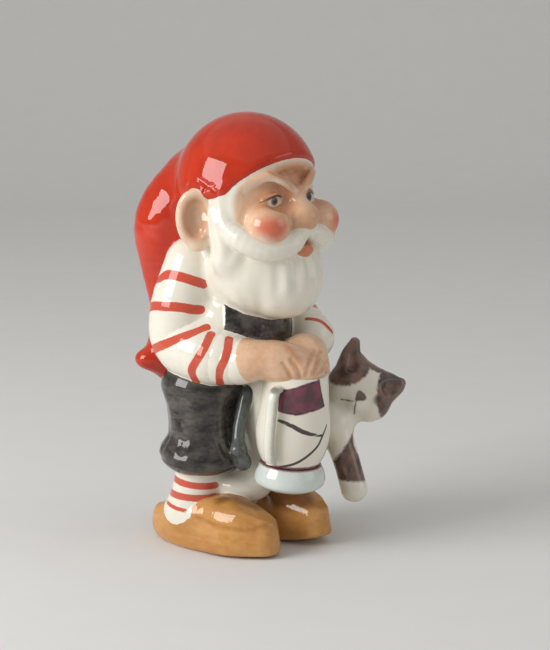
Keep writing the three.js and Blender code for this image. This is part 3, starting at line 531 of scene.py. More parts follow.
def beard(size):
    mass = egg((0, -12.6, 85.1), (size.beard_width / 2, 16.6, size.beard_length / 2), (-6, 0, 0))
    chin = egg((0, -21.2, 80.3), (11.5, 9.6, 10.4))
    sideburns = [
        blend(
            2,
            egg((side * 14.2, -10.4, 103.5), (5.6, 7.8, 10)),
            limb([(side * 16.2, -12, 99.1, 4.2), (side * 15.6, -13, 88.5, 5)]),
        )
        for side in (-1, 1)
    ]
    mouth = egg((0, -30.6, 91.5), (3.6, 4, 2.6))
    body = carve(1, blend(3, mass, chin, *sideburns), mouth)

    def around(p):
        return np.arctan2(p[:, 0], -(p[:, 1] + 9))

    def scallops(p):
        low = step(p[:, 2], 86, 74)
        low = low * step(p[:, 2], 67, 76)
        return low * (0.2 * np.cos(9 * around(p)) + 0.1 * np.cos(21 * around(p) + 0.2 * p[:, 2]))

    def combing(p):
        near_lip = step(p[:, 2], 76, 81) * step(p[:, 2], 90, 87) * step(np.abs(around(p)), 0.75, 0.3)
        return near_lip * 0.36 * np.cos(24 * around(p))

    def whiskers(p):
        beside = step(np.abs(around(p)), 0.75, 1.0) * step(p[:, 2], 84, 92)
        sweep = p[:, 1] + 2.6 * np.sin(0.22 * (p[:, 2] - 84))
        return beside * 0.15 * np.sin(1.7 * sweep)

    return worked(body, scallops, combing, whiskers)


def moustache(size):
    radius = size.moustache_radius
    path = [(1.6, 96), (6.4, 93.6), (12.4, 93), (17, 95.6), (18, 99.6)]
    depths = [-28.6, -27.8, -24.6, -19, -13]
    radii = [radius - 1.9, radius - 0.8, radius - 0.4, radius - 0.8, radius - 2.2]
    wings = [
        limb([(side * x, y, z + lift * min(1, x / 6), r) for (x, z), y, r in zip(path, depths, radii)])
        for side, lift in ((-1, -0.9), (1, 0.5))
    ]

    def strands(p):
        out = np.abs(p[:, 0])
        lie = p[:, 2] - np.interp(out, [x for x, _ in path], [z for _, z in path])
        return 0.07 * np.sin(2.4 * lie) * step(out, 2.5, 6) * step(out, 18, 15)

    return worked(blend(1, *wings), strands)


def lower_lip():
    return egg((0, -28.1, 90.5), (3.3, 2.6, 1.8), (-12, 0, 0))


# Cap


def cap_crown(size):
    over_brow = half_space((0, -25.25, 117.8), (0, -0.88, -1))
    over_ears = half_space((0, -13, 106.8), (0, -0.12, -1))
    roll = limb([(-19.4, -3.4, 108.2, 2.1), (-19.3, -8.6, 107.8, 1.9), (-18.2, -13, 108.4, 1.5)])
    wrinkles = [
        limb(
            [
                (-20.6, -6.2, 111.3, 0.2),
                (-20.8, -8, 110.4, 0.4),
                (-20.5, -11.6, 108.6, 0.4),
                (-20.1, -12.8, 107.2, 0.3),
            ]
        ),
        limb([(-21.3, -8.6, 108, 0.2), (-20.7, -9.6, 109.4, 0.35), (-20.2, -11.4, 109.8, 0.2)]),
    ]
    crown = common(1.2, cap_egg(size, 0), over_brow, over_ears)
    return carve(0.8, blend(1.4, crown, roll), *wrinkles)


def cap_tail(size):
    radius = size.tail_radius
    fold = limb(
        [
            (-1.5, 11.6, size.cap_top - 24, radius - 0.7),
            (-4.5, 17.8, size.cap_top - 34, radius),
            (-4.3, 18.2, 85, radius - 1.2),
            (-4.1, 17.2, 70, radius - 3),
            (-5.5, 19.2, 56, radius - 5),
            (-5.5, 18.6, 52, 3),
        ],
        (1, 1.15, 1),
    )
    flare = egg((-13.1, 22.8, 55), (4.6, 4.4, 3.6), (0, 0, 30))

    def folds(p):
        around = np.arctan2(p[:, 0] + 4.5, p[:, 1] - 12)
        slack = step(p[:, 2], 100, 80) * step(p[:, 2], 51, 58)
        broad = 0.45 * np.cos(4 * around + 0.05 * p[:, 2])
        fine = 0.2 * np.cos(9 * around - 0.12 * p[:, 2])
        return slack * (0.65 + broad + fine)

    return worked(blend(4, fold, flare), folds)


# Cat

CAT_NOSE = Vector((-0.787, -0.618, -0.033)).normalized()
CAT_CROWN = Vector((0.327, -0.42, 0.846)).normalized()
CAT_EARWARD = CAT_CROWN.cross(CAT_NOSE).normalized()
CAT_CENTRE = Vector((35.2, -21.5, 43.5))


def on_cat_head(across, up, out):
    """A point given from the middle of the cat's head."""
    return tuple(CAT_CENTRE + across * CAT_EARWARD + up * CAT_CROWN + out * CAT_NOSE)


def cat_head(size):
    half = size.cat_head_width / 2
    skull = limb([(*on_cat_head(-2.2, 0.4, 0), half - 2.3), (*on_cat_head(2.2, 0.4, 0), half - 2.3)])
    cheeks = [
        limb([(*on_cat_head(side * 4.6, -2.6, 2.2), 5.2), (*on_cat_head(side * 5.4, -2.2, 1.4), 5)])
        for side in (-1, 1)
    ]
    muzzle = limb([(*on_cat_head(0, -3.6, 4), 4.4), (*on_cat_head(0.2, -2.9, 6.4), 3)])
    ears = [
        limb([(*on_cat_head(side * 6, 4.6, 0.4), 4.8), (*on_cat_head(side * 8.2, up, 0.4), 3.1), (*tip, 1.6)])
        for side, up, tip in ((-1, 7.4, on_cat_head(-9.4, 11.4, 0.4)), (1, 6.4, on_cat_head(9.35, 8.2, 0.4)))
    ]
    hollows = [
        limb([(*on_cat_head(side * 6.8, 6, 5.6), 2.2), (*on_cat_head(side * 8.4, 8.6, 3.6), 1.2)])
        for side in (-1, 1)
    ]
    mouth = [
        limb([(*on_cat_head(0.2, -4.6, 9.6), 0.3), (*on_cat_head(side * 3.4, -6.2, 8.2), 0.3)])
        for side in (-1, 1)
    ]
    body = blend(2, carve(1.2, blend(1.8, skull, *ears), *hollows), *cheeks, muzzle)
    return carve(0.6, body, *mouth)


def cat_body():
    return limb(
        [(29.4, -18, 35.5, 5.8), (25.6, -12.5, 33.5, 8), (24, 1, 35.5, 8.6), (20.5, 11.5, 39, 7.8)]
    )


def cat_foreleg(size):
    radius = size.cat_leg_radius
    return limb([(26.2, -18.4, 33, radius + 0.9), (26.8, -22.6, 23, radius), (27.4, -25.4, 14, radius)])


def cat_hind_leg(size):
    thigh = egg((27, 10.5, 35), (4.6, 6.4, 6.8))
    shank = limb([(27.6, 9, 31, size.cat_leg_radius), (27, 3.6, 25.4, size.cat_leg_radius - 0.8)])
    return blend(2, thigh, shank)


def cat_tail():
    return limb([(19, 19.6, 39, 3.1), (24.5, 18.6, 32, 2.7), (28.4, 12.4, 26.4, 2.7), (29, 5, 22.4, 2.2)])


# Jug

JUG_FOOT_TOP = 7.6
JUG_WAIST = 8.7
JUG_NECK = 9.3
JUG_PLACE = Matrix.Translation((0, -22.6, 19.6)) @ Matrix.Rotation(math.radians(5), 4, "X")
JUG_EASE = 0.996
HANDLE_ANGLE = math.radians(10)
HANDLE_THICK = 1.2


def foot_profile(size):
    foot = size.jug_foot_radius
    return [
        (foot - 2.6, 0),
        (foot - 0.6, 1.2),
        (foot, 2.8),
        (foot - 0.35, 5),
        (JUG_WAIST + 0.4, JUG_FOOT_TOP - 0.2),
    ]


def body_profile(size):
    tall = size.jug_height
    belly = size.jug_belly_radius
    return [
        (JUG_WAIST, JUG_FOOT_TOP + 0.2),
        (belly - 0.7, tall * 0.34),
        (belly, tall * 0.5),
        (JUG_NECK + 0.9, tall * 0.74),
        (JUG_NECK, tall),
    ]


def handle_route(size):
    reach = size.jug_belly_radius + 2.2
    tall = size.jug_height
    route = [
        (JUG_NECK + 0.85, tall - 3.4),
        (reach - 0.9, tall - 4.2),
        (reach, tall - 8),
        (reach + 0.3, tall * 0.5),
        (reach - 0.5, JUG_FOOT_TOP + 4.6),
        (reach - 1.7, JUG_FOOT_TOP + 2.6),
        (JUG_WAIST + 2.6, JUG_FOOT_TOP + 1.9),
    ]
    return [
        JUG_PLACE @ Vector((-r * math.cos(HANDLE_ANGLE), -r * math.sin(HANDLE_ANGLE), h)) for r, h in route
    ]


def jug_support():
    wall = limb([(0, -12, 49.6, 4.5), (0, -12, 23.6, 4.8)], (1, 0.5, 1))
    return blend(3.5, wall, egg((-1, -5.4, 18), (9.6, 8.8, 6)))


# The figure as one surface, shared out between its pieces

SOFT_JOINS = [
    (("cap_crown", "cap_tail"), 4),
    (("shirt_trunk", "sleeve_right", "sleeve_left", "beard", "head"), 2.6),
    (("stocking_right", "stocking_left", "jug_support"), 3),
    (("cat_head", "cat_body", "cat_foreleg", "cat_hind_leg"), 2.4),
]
LUTE = 1.1
REACH = 6


class Figure:
    """Every clay form of the figure at the present sizes, and the surface they make together."""

    def __init__(self, sizes):
        size = Millimetres(sizes)
        self.size = size
        self.forms = {
            "clog_right": clog(size, -1),
            "clog_left": clog(size, 1),
            "stocking_right": stocking(size, -1),
            "stocking_left": stocking(size, 1),
            "jug_support": jug_support(),
            "breeches_right": breeches_leg(size, -1),
            "breeches_left": breeches_leg(size, 1),
            "knee_tie_right": knee_tie(size, -1),
            "knee_tie_left": knee_tie(size, 1),
            "vest": vest(size),
            "shirt_trunk": trunk(size),
            "sleeve_right": sleeve_right(size),
            "sleeve_left": sleeve_left(size),
            "beard": beard(size),
            "hand_right": hand_right(),
            "hand_left": hand_left(size),
            "head": head(size),
            "ear_right": ear(size, -1),
            "ear_left": ear(size, 1),
            "moustache": moustache(size),
            "lower_lip": lower_lip(),
            "cap_crown": cap_crown(size),
            "cap_tail": cap_tail(size),
            "cat_head": cat_head(size),
            "cat_body": cat_body(),
            "cat_foreleg": cat_foreleg(size),
            "cat_hind_leg": cat_hind_leg(size),
            "cat_tail": cat_tail(),
        }
        scan = 3
        axes = [np.arange(-39, 57, scan), np.arange(-48, 48, scan), np.arange(-6, 138, scan)]
        lattice = np.stack(np.meshgrid(*axes, indexing="ij"), -1).reshape(-1, 3).astype(np.float32)
        self.boxes = {}
        for name, form in self.forms.items():
            near = lattice[form(lattice) < scan]
            self.boxes[name] = (near.min(0) - 1, near.max(0) + 1)

    def value(self, name, p):
        """A form's distances, worked out only at the points that are near its box."""
        low, high = self.boxes[name]
        near = ((p > low - REACH) & (p < high + REACH)).all(1)
        values = np.full(len(p), FAR, np.float32)
        if near.any():
            values[near] = self.forms[name](p[near])
        return values

    def neighbours(self, name):
        """The pieces whose boxes come close to this piece's box."""
        low, high = self.boxes[name]
        return [
            other
            for other, (a, b) in self.boxes.items()
            if (a < high + REACH).all() and (b > low - REACH).all()
        ]

    def surface(self, names):
        """The distance to the whole figure's surface, from these pieces' values at the same points."""

        def join(values):
            total = np.full(len(values[names[0]]), FAR, np.float32)
            joined = set()
            for members, k in SOFT_JOINS:
                present = [member for member in members if member in names]
                joined.update(present)
                if present:
                    body = values[present[0]]
                    for member in present[1:]:
                        body = soft_min(body, values[member], k)
                    total = soft_min(total, body, LUTE)
            for name in names:
                if name not in joined:
                    total = soft_min(total, values[name], LUTE)
            return total

        return join

    def piece(self, name):
        """One piece: the shared surface where its own form is nearest, tucked under its neighbours beyond."""
        names = self.neighbours(name)
        join = self.surface(names)

        def measure(p):
            values = {other: self.value(other, p) for other in names}
            whole = join(values)
            rivals = [values[other] for other in names if other != name]
            share = values[name] - np.min(rivals, axis=0)
            return whole, share

        return measure


class Millimetres:
    """The sizes property group, read in millimetres."""

    def __init__(self, sizes):
        self.sizes = sizes

    def __getattr__(self, name):
        return getattr(self.sizes, name) / MM


_figure = {}


def the_figure(context):
    """The figure at the present sizes, worked out once."""
    sizes = context.scene.gnome_sizes
    key = tuple(getattr(sizes, name) for name in GNOME_PG_sizes.__annotations__)
    if _figure.get("key") != key:
        _figure.update(key=key, figure=Figure(sizes))
    return _figure["figure"]


def design_shift():
    """From design millimetres to the row frame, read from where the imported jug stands."""
    figure = Millimetres(bpy.context.scene.gnome_sizes)
    profile = eased([(*point, 0, 0) for point in body_profile(figure)], 2)[:, :2]
    points = [
        JUG_PLACE @ Vector((r * math.sin(a), r * math.cos(a), h))
        for r, h in profile
        for a in (0, math.pi / 2, math.pi, 3 * math.pi / 2)
    ]
    low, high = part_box("jug_body")
    x = (low[0] + high[0]) / 2 / MM
    y = low[1] / MM - min(point.y for point in points)
    return np.array([x, y, 0.0])


# Meshing


BLOCK = 6
TUCK = 1.2
SLANT = 0.8
CHUNK = 150000


def lattice_values(measure, low, high, cell):
    """Samples of a piece on a lattice, worked out only near its surface."""
    start = np.floor(low / cell).astype(int) - 1
    blocks = np.ceil((high / cell - start + 2) / BLOCK).astype(int)
    shape = blocks * BLOCK + 1
    values = np.ones(shape, np.float32)
    middles = np.stack(np.meshgrid(*[np.arange(n) for n in blocks], indexing="ij"), -1).reshape(-1, 3)
    centres = ((middles * BLOCK + BLOCK / 2 + start) * cell).astype(np.float32)
    whole, share = measure(centres)
    rough = np.maximum(whole + SLANT * np.maximum(0, share), share - TUCK)
    close = np.abs(rough) < BLOCK * cell * 1.15
    wanted = np.zeros(shape, bool)
    for (i, j, k), value, keep in zip(middles * BLOCK, rough, close):
        block = (slice(i, i + BLOCK + 1), slice(j, j + BLOCK + 1), slice(k, k + BLOCK + 1))
        if keep:
            wanted[block] = True
        elif value < 0:
            values[block] = -1
    places = np.argwhere(wanted)
    for part in np.array_split(places, max(1, len(places) // CHUNK)):
        whole, share = measure(((part + start) * cell).astype(np.float32))
        values[tuple(part.T)] = np.maximum(whole + SLANT * np.maximum(0, share), share - TUCK)
    for axis in range(3):
        edge = [slice(None)] * 3
        for end in (0, -1):
            edge[axis] = end
            values[tuple(edge)] = 1
    return values, start


CORNERS = [(i, j, k) for i in (0, 1) for j in (0, 1) for k in (0, 1)]


def net(values, start, cell):
    """Vertices, one in each cell that the surface passes through, and the quads between them."""
    inside = values < 0
    count = np.zeros(np.array(values.shape) - 1, np.int8)
    for i, j, k in CORNERS:
        count += inside[i : i + count.shape[0], j : j + count.shape[1], k : k + count.shape[2]]
    cells = np.argwhere((count > 0) & (count < 8))
    names = np.full(count.shape, -1, np.int64)
    names[tuple(cells.T)] = np.arange(len(cells))
    total = np.zeros((len(cells), 3))
    crossings = np.zeros(len(cells))
    for a in CORNERS:
        for axis in range(3):
            if a[axis] == 0:
                b = tuple(a[n] + (n == axis) for n in range(3))
                va = values[tuple((cells + a).T)].astype(float)
                vb = values[tuple((cells + b).T)].astype(float)
                crossed = (va < 0) != (vb < 0)
                t = np.where(crossed, va / np.where(crossed, va - vb, 1), 0)
                point = np.repeat([a], len(cells), 0).astype(float)
                point[:, axis] += t
                total += point * crossed[:, None]
                crossings += crossed
    vertices = ((cells + total / crossings[:, None] + start) * cell).astype(np.float32)
    quads = []
    for axis, s, t in ((0, 1, 2), (1, 2, 0), (2, 0, 1)):
        size = np.array(values.shape)
        size[axis] -= 1
        first = inside[tuple(slice(0, n) for n in size)]
        shift = [slice(0, n) for n in size]
        shift[axis] = slice(1, values.shape[axis])
        second = inside[tuple(shift)]
        edges = np.argwhere(first != second)
        step_s, step_t = np.eye(3, dtype=int)[[s, t]]
        around = [edges, edges - step_s, edges - step_s - step_t, edges - step_t]
        quad = np.stack([names[tuple(place.T)] for place in around], -1)
        out = first[tuple(edges.T)]
        quads.append(np.where(out[:, None], quad, quad[:, ::-1]))
    return vertices, np.concatenate(quads)


def slope(function, p, here, spread=0.05):
    """The gradient of a distance at points where its value is known."""
    steps = np.eye(3, dtype=np.float32) * spread
    return np.stack([(function(p + d) - here) / spread for d in steps], -1)


def settle(measure, vertices, cell):
    """Vertices moved onto the surface, and the surface's own normals where they show."""

    def skin(p):
        whole, share = measure(p)
        return np.maximum(whole + SLANT * np.maximum(0, share), share - TUCK)

    whole, share = measure(vertices)
    outer = (np.abs(whole) < cell) & (share < 0.6)
    points = vertices[outer]
    here = skin(points)
    tilt = slope(skin, points, here)
    fall = np.maximum(np.einsum("ij,ij->i", tilt, tilt), 0.1)
    reach = np.clip(here / fall, -cell / 2, cell / 2)
    points = points - tilt * reach[:, None]
    vertices[outer] = points
    whole, share = measure(points)
    tilt = slope(lambda p: measure(p)[0], points, whole)
    tilt /= np.maximum(np.linalg.norm(tilt, axis=1, keepdims=True), 1e-6)
    showing = (np.abs(whole) < 0.08) & (share < 0.35)
    normals = np.zeros_like(vertices)
    normals[outer] = np.where(showing[:, None], tilt, 0)
    return vertices, normals


def make_mesh(name, vertices, faces, normals=None):
    """A mesh object in the row frame from design millimetres."""
    placed = (vertices + design_shift()) * MM
    mesh = bpy.data.meshes.new(name)
    mesh.from_pydata(placed.tolist(), [], faces.tolist() if isinstance(faces, np.ndarray) else faces)
    mesh.update()
    mesh.polygons.foreach_set("use_smooth", [True] * len(mesh.polygons))
    if normals is not None:
        mesh.normals_split_custom_set_from_vertices(normals.tolist())
    piece = bpy.data.objects.new(name, mesh)
    bpy.context.collection.objects.link(piece)
    return piece


def clay_piece(context, node, cell):
    """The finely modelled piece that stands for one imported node."""
    figure = the_figure(context)
    measure = figure.piece(node)
    low, high = figure.boxes[node]
    cell = cell * 1
    values, start = lattice_values(measure, low, high, cell)
    vertices, quads = net(values, start, cell)
    vertices, normals = settle(measure, vertices, cell)
    vertices[:, 2] = np.maximum(vertices[:, 2], 0)
    return make_mesh(node + "_glazed", vertices, quads, normals), vertices


def dress(piece, points, node, coat):
    """Paints a piece: writes each mark's distances at the points, and gives the piece its glaze."""
    for mark in coat.marks:
        layer = piece.data.attributes.new(mark.name, "FLOAT", "POINT")
        layer.data.foreach_set("value", np.clip(mark.form(points), -9, 9).astype(np.float32))
    piece.data.materials.append(coat.material(node + "_glaze"))
    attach(piece, "root")
    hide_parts(node)
    return piece


def model(context, node, cell, coat):
    """Models a clay piece on a lattice of this many millimetres, and paints it."""
    piece, points = clay_piece(context, node, cell)
    return dress(piece, points, node, coat)


# Shader tools


class Wire:
    """A shader value; arithmetic on it adds Math nodes."""

    def __init__(self, tree, socket):
        self.tree = tree
        self.socket = socket

    def math(self, operation, *values):
        return self.tree.node("ShaderNodeMath", {"operation": operation}, dict(enumerate(values)))

    def __add__(self, other):
        return self.math("ADD", self, other)

    __radd__ = __add__

    def __sub__(self, other):
        return self.math("SUBTRACT", self, other)

    def __rsub__(self, other):
        return self.math("SUBTRACT", other, self)

    def __mul__(self, other):
        return self.math("MULTIPLY", self, other)

    __rmul__ = __mul__

    def between(self, low, high):
        """0 at low and 1 at high, smooth between."""
        settings = {"interpolation_type": "SMOOTHSTEP"}
        inputs = {"Value": self, "From Min": low, "From Max": high, "To Min": 0.0, "To Max": 1.0}
        return self.tree.node("ShaderNodeMapRange", settings, inputs)


class Tree:
    """A material and the one way that its nodes are made."""

    def __init__(self, name):
        self.material = bpy.data.materials.new(name)
        self.material.use_nodes = True
        self.nodes = self.material.node_tree.nodes
        self.links = self.material.node_tree.links
        self.nodes.clear()

    def node(self, kind, settings=None, inputs=None, output=0):
        made = self.nodes.new(kind)
        for name, value in (settings or {}).items():
            setattr(made, name, value)
        for name, value in (inputs or {}).items():
            if isinstance(value, Wire):
                self.links.new(value.socket, made.inputs[name])
            else:
                made.inputs[name].default_value = value
        return Wire(self, made.outputs[output]) if len(made.outputs) else made

    def mix(self, share, a, b):
        """Colour a where share is 0 and colour b where it is 1."""
        return self.node(
            "ShaderNodeMix", {"data_type": "RGBA", "clamp_factor": True}, {0: share, 6: a, 7: b}, output=2
        )

    def noise(self, scale, detail=3.0, rough=0.5, stretch=(1, 1, 1), offset=(0, 0, 0)):
        """Cloudy variation from 0 to 1, by place on the piece; scale is in lumps for each metre."""
        place = self.node("ShaderNodeTexCoord", output=3)
        mapped = self.node("ShaderNodeMapping", None, {"Vector": place, "Location": offset, "Scale": stretch})
        inputs = {"Vector": mapped, "Scale": scale, "Detail": detail, "Roughness": rough}
        return self.node("ShaderNodeTexNoise", {"noise_dimensions": "3D"}, inputs)


class Mark:
    """A painted mark: its form, its colour, how soft its edge is in millimetres, and how strong it is."""

    def __init__(self, name, form, shade, soft=0.12, strength=0.94, wobble=0.15, inner=None):
        self.name = name
        self.form = form
        self.shade = shade
        self.soft = soft
        self.strength = strength
        self.wobble = wobble
        self.inner = inner


PAINT_ROUGHNESS = 0.32
GLAZE_ROUGHNESS = 0.04
GLAZE_IOR = 1.52


class Coat:
    """Paint under a clear gloss glaze: a ground, its clouds of a second shade, and marks over it."""

    def __init__(self, ground, clouds, amount, marks=(), grain=260, stretch=(1, 1, 1), contrast=0.22):
        self.ground = ground
        self.clouds = clouds
        self.amount = amount
        self.marks = marks
        self.grain = grain
        self.stretch = stretch
        self.contrast = contrast

    def material(self, name):
        tree = Tree(name)
        broad = tree.noise(self.grain, 4.0, 0.55, self.stretch)
        fine = tree.noise(self.grain * 5, 3.0, 0.6, self.stretch, (0.3, 0.1, 0.7))
        cloud = (broad * 0.7 + fine * 0.3).between(0.5 - self.contrast, 0.5 + self.contrast)
        shade = tree.mix(cloud * self.amount, self.ground, self.clouds)
        edge = tree.noise(900, 2.0)
        for mark in self.marks:
            distance = tree.node("ShaderNodeAttribute", {"attribute_name": mark.name}, output=2)
            distance = distance + (edge - 0.5) * (2 * mark.wobble)
            cover = distance.between(mark.soft, -mark.soft) * mark.strength
            tone = mark.shade
            if mark.inner:
                tone = tree.mix(broad.between(0.35, 0.65), mark.shade, mark.inner)
            shade = tree.mix(cover, shade, tone)
        ripple = tree.noise(130, 1.0)
        bump = tree.node("ShaderNodeBump", None, {"Strength": 0.25, "Distance": 0.00012, "Height": ripple})
        shader = tree.node(
            "ShaderNodeBsdfPrincipled",
            None,
            {
                "Base Color": shade,
                "Roughness": PAINT_ROUGHNESS,
                "Specular IOR Level": 0.0,
                "Coat Weight": 1.0,
                "Coat Roughness": GLAZE_ROUGHNESS,
                "Coat IOR": GLAZE_IOR,
                "Normal": bump,
            },
        )
        tree.node("ShaderNodeOutputMaterial", None, {"Surface": shader})
        return tree.material


def porcelain(c, marks=()):
    """Bare white porcelain with marks on it."""
    return Coat(c.white, c.white, 0, marks)


# Painted marks, in design millimetres


def ring(point, normal, half, keep):
    """A painted band round a limb, in a plane, with rounded ends where keep cuts it."""
    plane = half_space(point, normal)

    def distance(p):
        across = np.abs(plane(p))
        end = np.maximum(keep(p) + half, 0)
        return np.hypot(across, end) - half

    return distance


def any_of(*forms):
    """Several marks as one."""
    return lambda p: np.min([form(p) for form in forms], axis=0)


def strokes(*runs):
    """Brush strokes through points on the surface, each (half width, points)."""
    return any_of(*[limb([(*point, half) for point in run], (1, 1, 1), 6) for half, run in runs])


def right_sleeve_stripes():
    return strokes(
        (1.4, [(-13, 14, 78.5), (-18.6, 11.5, 79.6), (-20.8, 8.9, 81), (-21.4, 6, 82.5), (-20.7, 1.9, 82.3),
               (-18.5, -1.3, 81.2), (-15.5, -2.9, 80)]),
        (1.4, [(-15, 16, 71), (-21, 13.5, 72), (-22.9, 9.8, 73), (-23.2, 4.9, 73.4), (-21.6, 1.1, 73.4),
               (-18.8, -1.5, 72.7), (-16, -2.3, 72.3)]),
        (1.4, [(-14, 15.5, 57), (-19.5, 13.8, 58.6), (-22.7, 9.9, 60.3), (-23.9, 4.3, 62.5), (-23, -0.1, 64.4),
               (-21.3, -3.8, 66.2), (-17.9, -6.1, 67.7)]),
        (1.35, [(-18.6, -8.7, 66), (-21.3, -9, 62.9), (-22.7, -7.9, 59.9), (-22.9, -5.1, 55.7),
                (-20.4, -4.1, 52.3), (-14, -1, 51)]),
        (1.3, [(-16, -13.4, 64.8), (-18.4, -15, 62.5), (-19.4, -14.9, 59.5), (-19.8, -13.4, 56.3),
               (-16.8, -10.7, 51.7), (-10, -6, 51)]),
    )


def left_sleeve_stripes():
    front = half_space((12.8, -17.5, 68), (-1, -0.4, 0.1))
    outer = half_space((22.6, 0, 0), (-1, 0, 0))
    marks = strokes(
        (0.7, [(14.1, -17.5, 67.5), (15.4, -19.2, 67.4), (16.8, -20.5, 66.8), (18.2, -21.9, 65.2),
               (20, -22.5, 63.3)]),
        (0.8, [(17.6, -15.6, 71), (20.4, -14.8, 70.9), (23.2, -13.2, 69.9)]),
    )
    return any_of(
        marks,
        ring((17, -6, 81.5), (-0.1, -0.12, 1), 1.1, front),
        ring((23.2, -13.2, 69.9), (0.25, -0.57, -0.78), 0.9, outer),
        ring((20, -22.5, 63.3), (-0.2, -0.88, -0.43), 0.85, outer),
    )


def stocking_stripes(side):
    keep = half_space((side * 11, -4.5, 0), (-side * 0.5, -1, 0))
    spots = [(20.2, -0.14), (15.9, -0.05)]
    bands = [ring((side * 18, 4, height), (0, lean, 1), 1.05, keep) for height, lean in spots]
    run = [(18.6, 9.4, 12.9), (19.8, 6.9, 12.5), (19.9, 4, 12), (19.3, 1.4, 11.7)]
    faint = strokes((0.6, [(side * x, y, z) for x, y, z in run]))
    return any_of(faint, *bands)


def clog_marks(c, side):
    """Darker wood along the outer edge of the right clog's top face; painted shade on the front of that clog's top,
    by the stocking, and on the left clog's top, which the jug's foot shades.
    """
    rim = strokes(
        (0.5, [(-19.1, -2.9, 10.4), (-19, -8.5, 9.8), (-18.4, -14.7, 9.3), (-16.2, -19.5, 8.9),
               (-12.3, -24.1, 10.2)]),
    )
    # Painted shade on the front of the right clog's top, by the stocking.
    painted_shade = strokes((1.7, [(-14.8, -8.7, 15.8), (-11.3, -10.4, 16.2), (-11, -13.8, 15.3), (-9, -17, 14)]))
    # Painted shade on the left clog's top, where the jug's foot shades it.
    top = any_of(egg((5.5, -16, 13.5), (8.5, 10, 3.2)), egg((13.5, -8, 16), (7, 8, 3)))
    if side > 0:
        return [Mark("painted_shade", top, c.deep_umber, 1.6, 0.8, 0.5, c.umber)]
    return [Mark("rim", rim, c.umber, 0.9, 0.6, 0.4), Mark("painted_shade", painted_shade, c.deep_umber, 1.6, 0.75, 0.5)]


# Operators


class GnomeOperator(bpy.types.Operator):
    """What the gnome's operators share."""

    bl_options = {"REGISTER", "UNDO"}


class GNOME_OT_legs(GnomeOperator):
    """Clogs, striped stockings, knee breeches and their ties"""

    bl_idname = "gnome.legs"
    bl_label = "Legs"

    def execute(self, context):
        c = context.scene.gnome_colours
        for side, name in ((-1, "right"), (1, "left")):
            coat = Coat(c.ochre, c.umber, 0.7, clog_marks(c, side), 120, (1, 0.35, 1), 0.26)
            model(context, "clog_" + name, 0.6, coat)
            stripes = Mark("stripes", stocking_stripes(side), c.stripe, 0.14, 0.92, 0.12, c.red)
            model(context, "stocking_" + name, 0.5, porcelain(c, [stripes]))
            coat = Coat(c.grey, c.charcoal, 1.0, [], 170, (0.6, 0.6, 1.3), 0.16)
            model(context, "breeches_" + name, 0.6, coat)
            coat = Coat(c.slate, c.charcoal, 0.8, [], 220, (1, 1, 0.5), 0.2)
            model(context, "knee_tie_" + name, 0.42, coat)
        return {"FINISHED"}


class GNOME_OT_trunk(GnomeOperator):
    """The white shirt and the grey vest over it"""

    bl_idname = "gnome.trunk"
    bl_label = "Trunk"

    def execute(self, context):
        c = context.scene.gnome_colours
        marks = [
            Mark("stripes_" + name, stripes, c.stripe, 0.14, 0.93, 0.14, c.red)
            for name, stripes in (("right", right_sleeve_stripes()), ("left", left_sleeve_stripes()))
        ]
        model(context, "shirt_trunk", 0.6, porcelain(c, marks))
        model(context, "vest", 0.42, Coat(c.grey, c.charcoal, 1.0, [], 220, (1, 1, 1), 0.12))
        return {"FINISHED"}


class GNOME_OT_arms(GnomeOperator):
    """The striped sleeves and the hands on the jug"""

    bl_idname = "gnome.arms"
    bl_label = "Arms"

    def execute(self, context):
        c = context.scene.gnome_colours
        for name, stripes in (("right", right_sleeve_stripes()), ("left", left_sleeve_stripes())):
            mark = Mark("stripes", stripes, c.stripe, 0.14, 0.93, 0.14, c.red)
            model(context, "sleeve_" + name, 0.5, porcelain(c, [mark]))
            # Painted shade in the hollow between the two hands and in the lines between the fingers.
            hollow_shade = strokes((0.9, [(-6.2, -27.7, 62.9), (-6.7, -29.9, 61.3), (-6.2, -31.3, 60)]))
            marks = [
                Mark("hollow_shade", hollow_shade, c.tan, 1.8, 0.7, 0.3),
                Mark("lines", any_of(*finger_lines(0.4)), c.tan, 0.6, 0.75, 0.2),
            ]
            model(context, "hand_" + name, 0.4, Coat(c.skin, c.tan, 0.45, marks, 160))
        return {"FINISHED"}


def face_area():
    """The skin of the face, within the white hair."""
    return blend(
        3,
        egg((0, -24, 103.5), (19.8, 15.6, 14.2)),
        limb([(-11, -22, 99.5, 6.6), (11, -22, 99.5, 6.6)]),
    )


def blush_mark(c):
    """The red of the cheeks, which runs on over the top of the moustache."""
    cheeks = both(lambda side: egg((side * 14.4, -28.8, 97.9), (4.6, 5, 3.5)))
    return Mark("blush", cheeks, c.blush, 2.4, 0.85, 0.3)


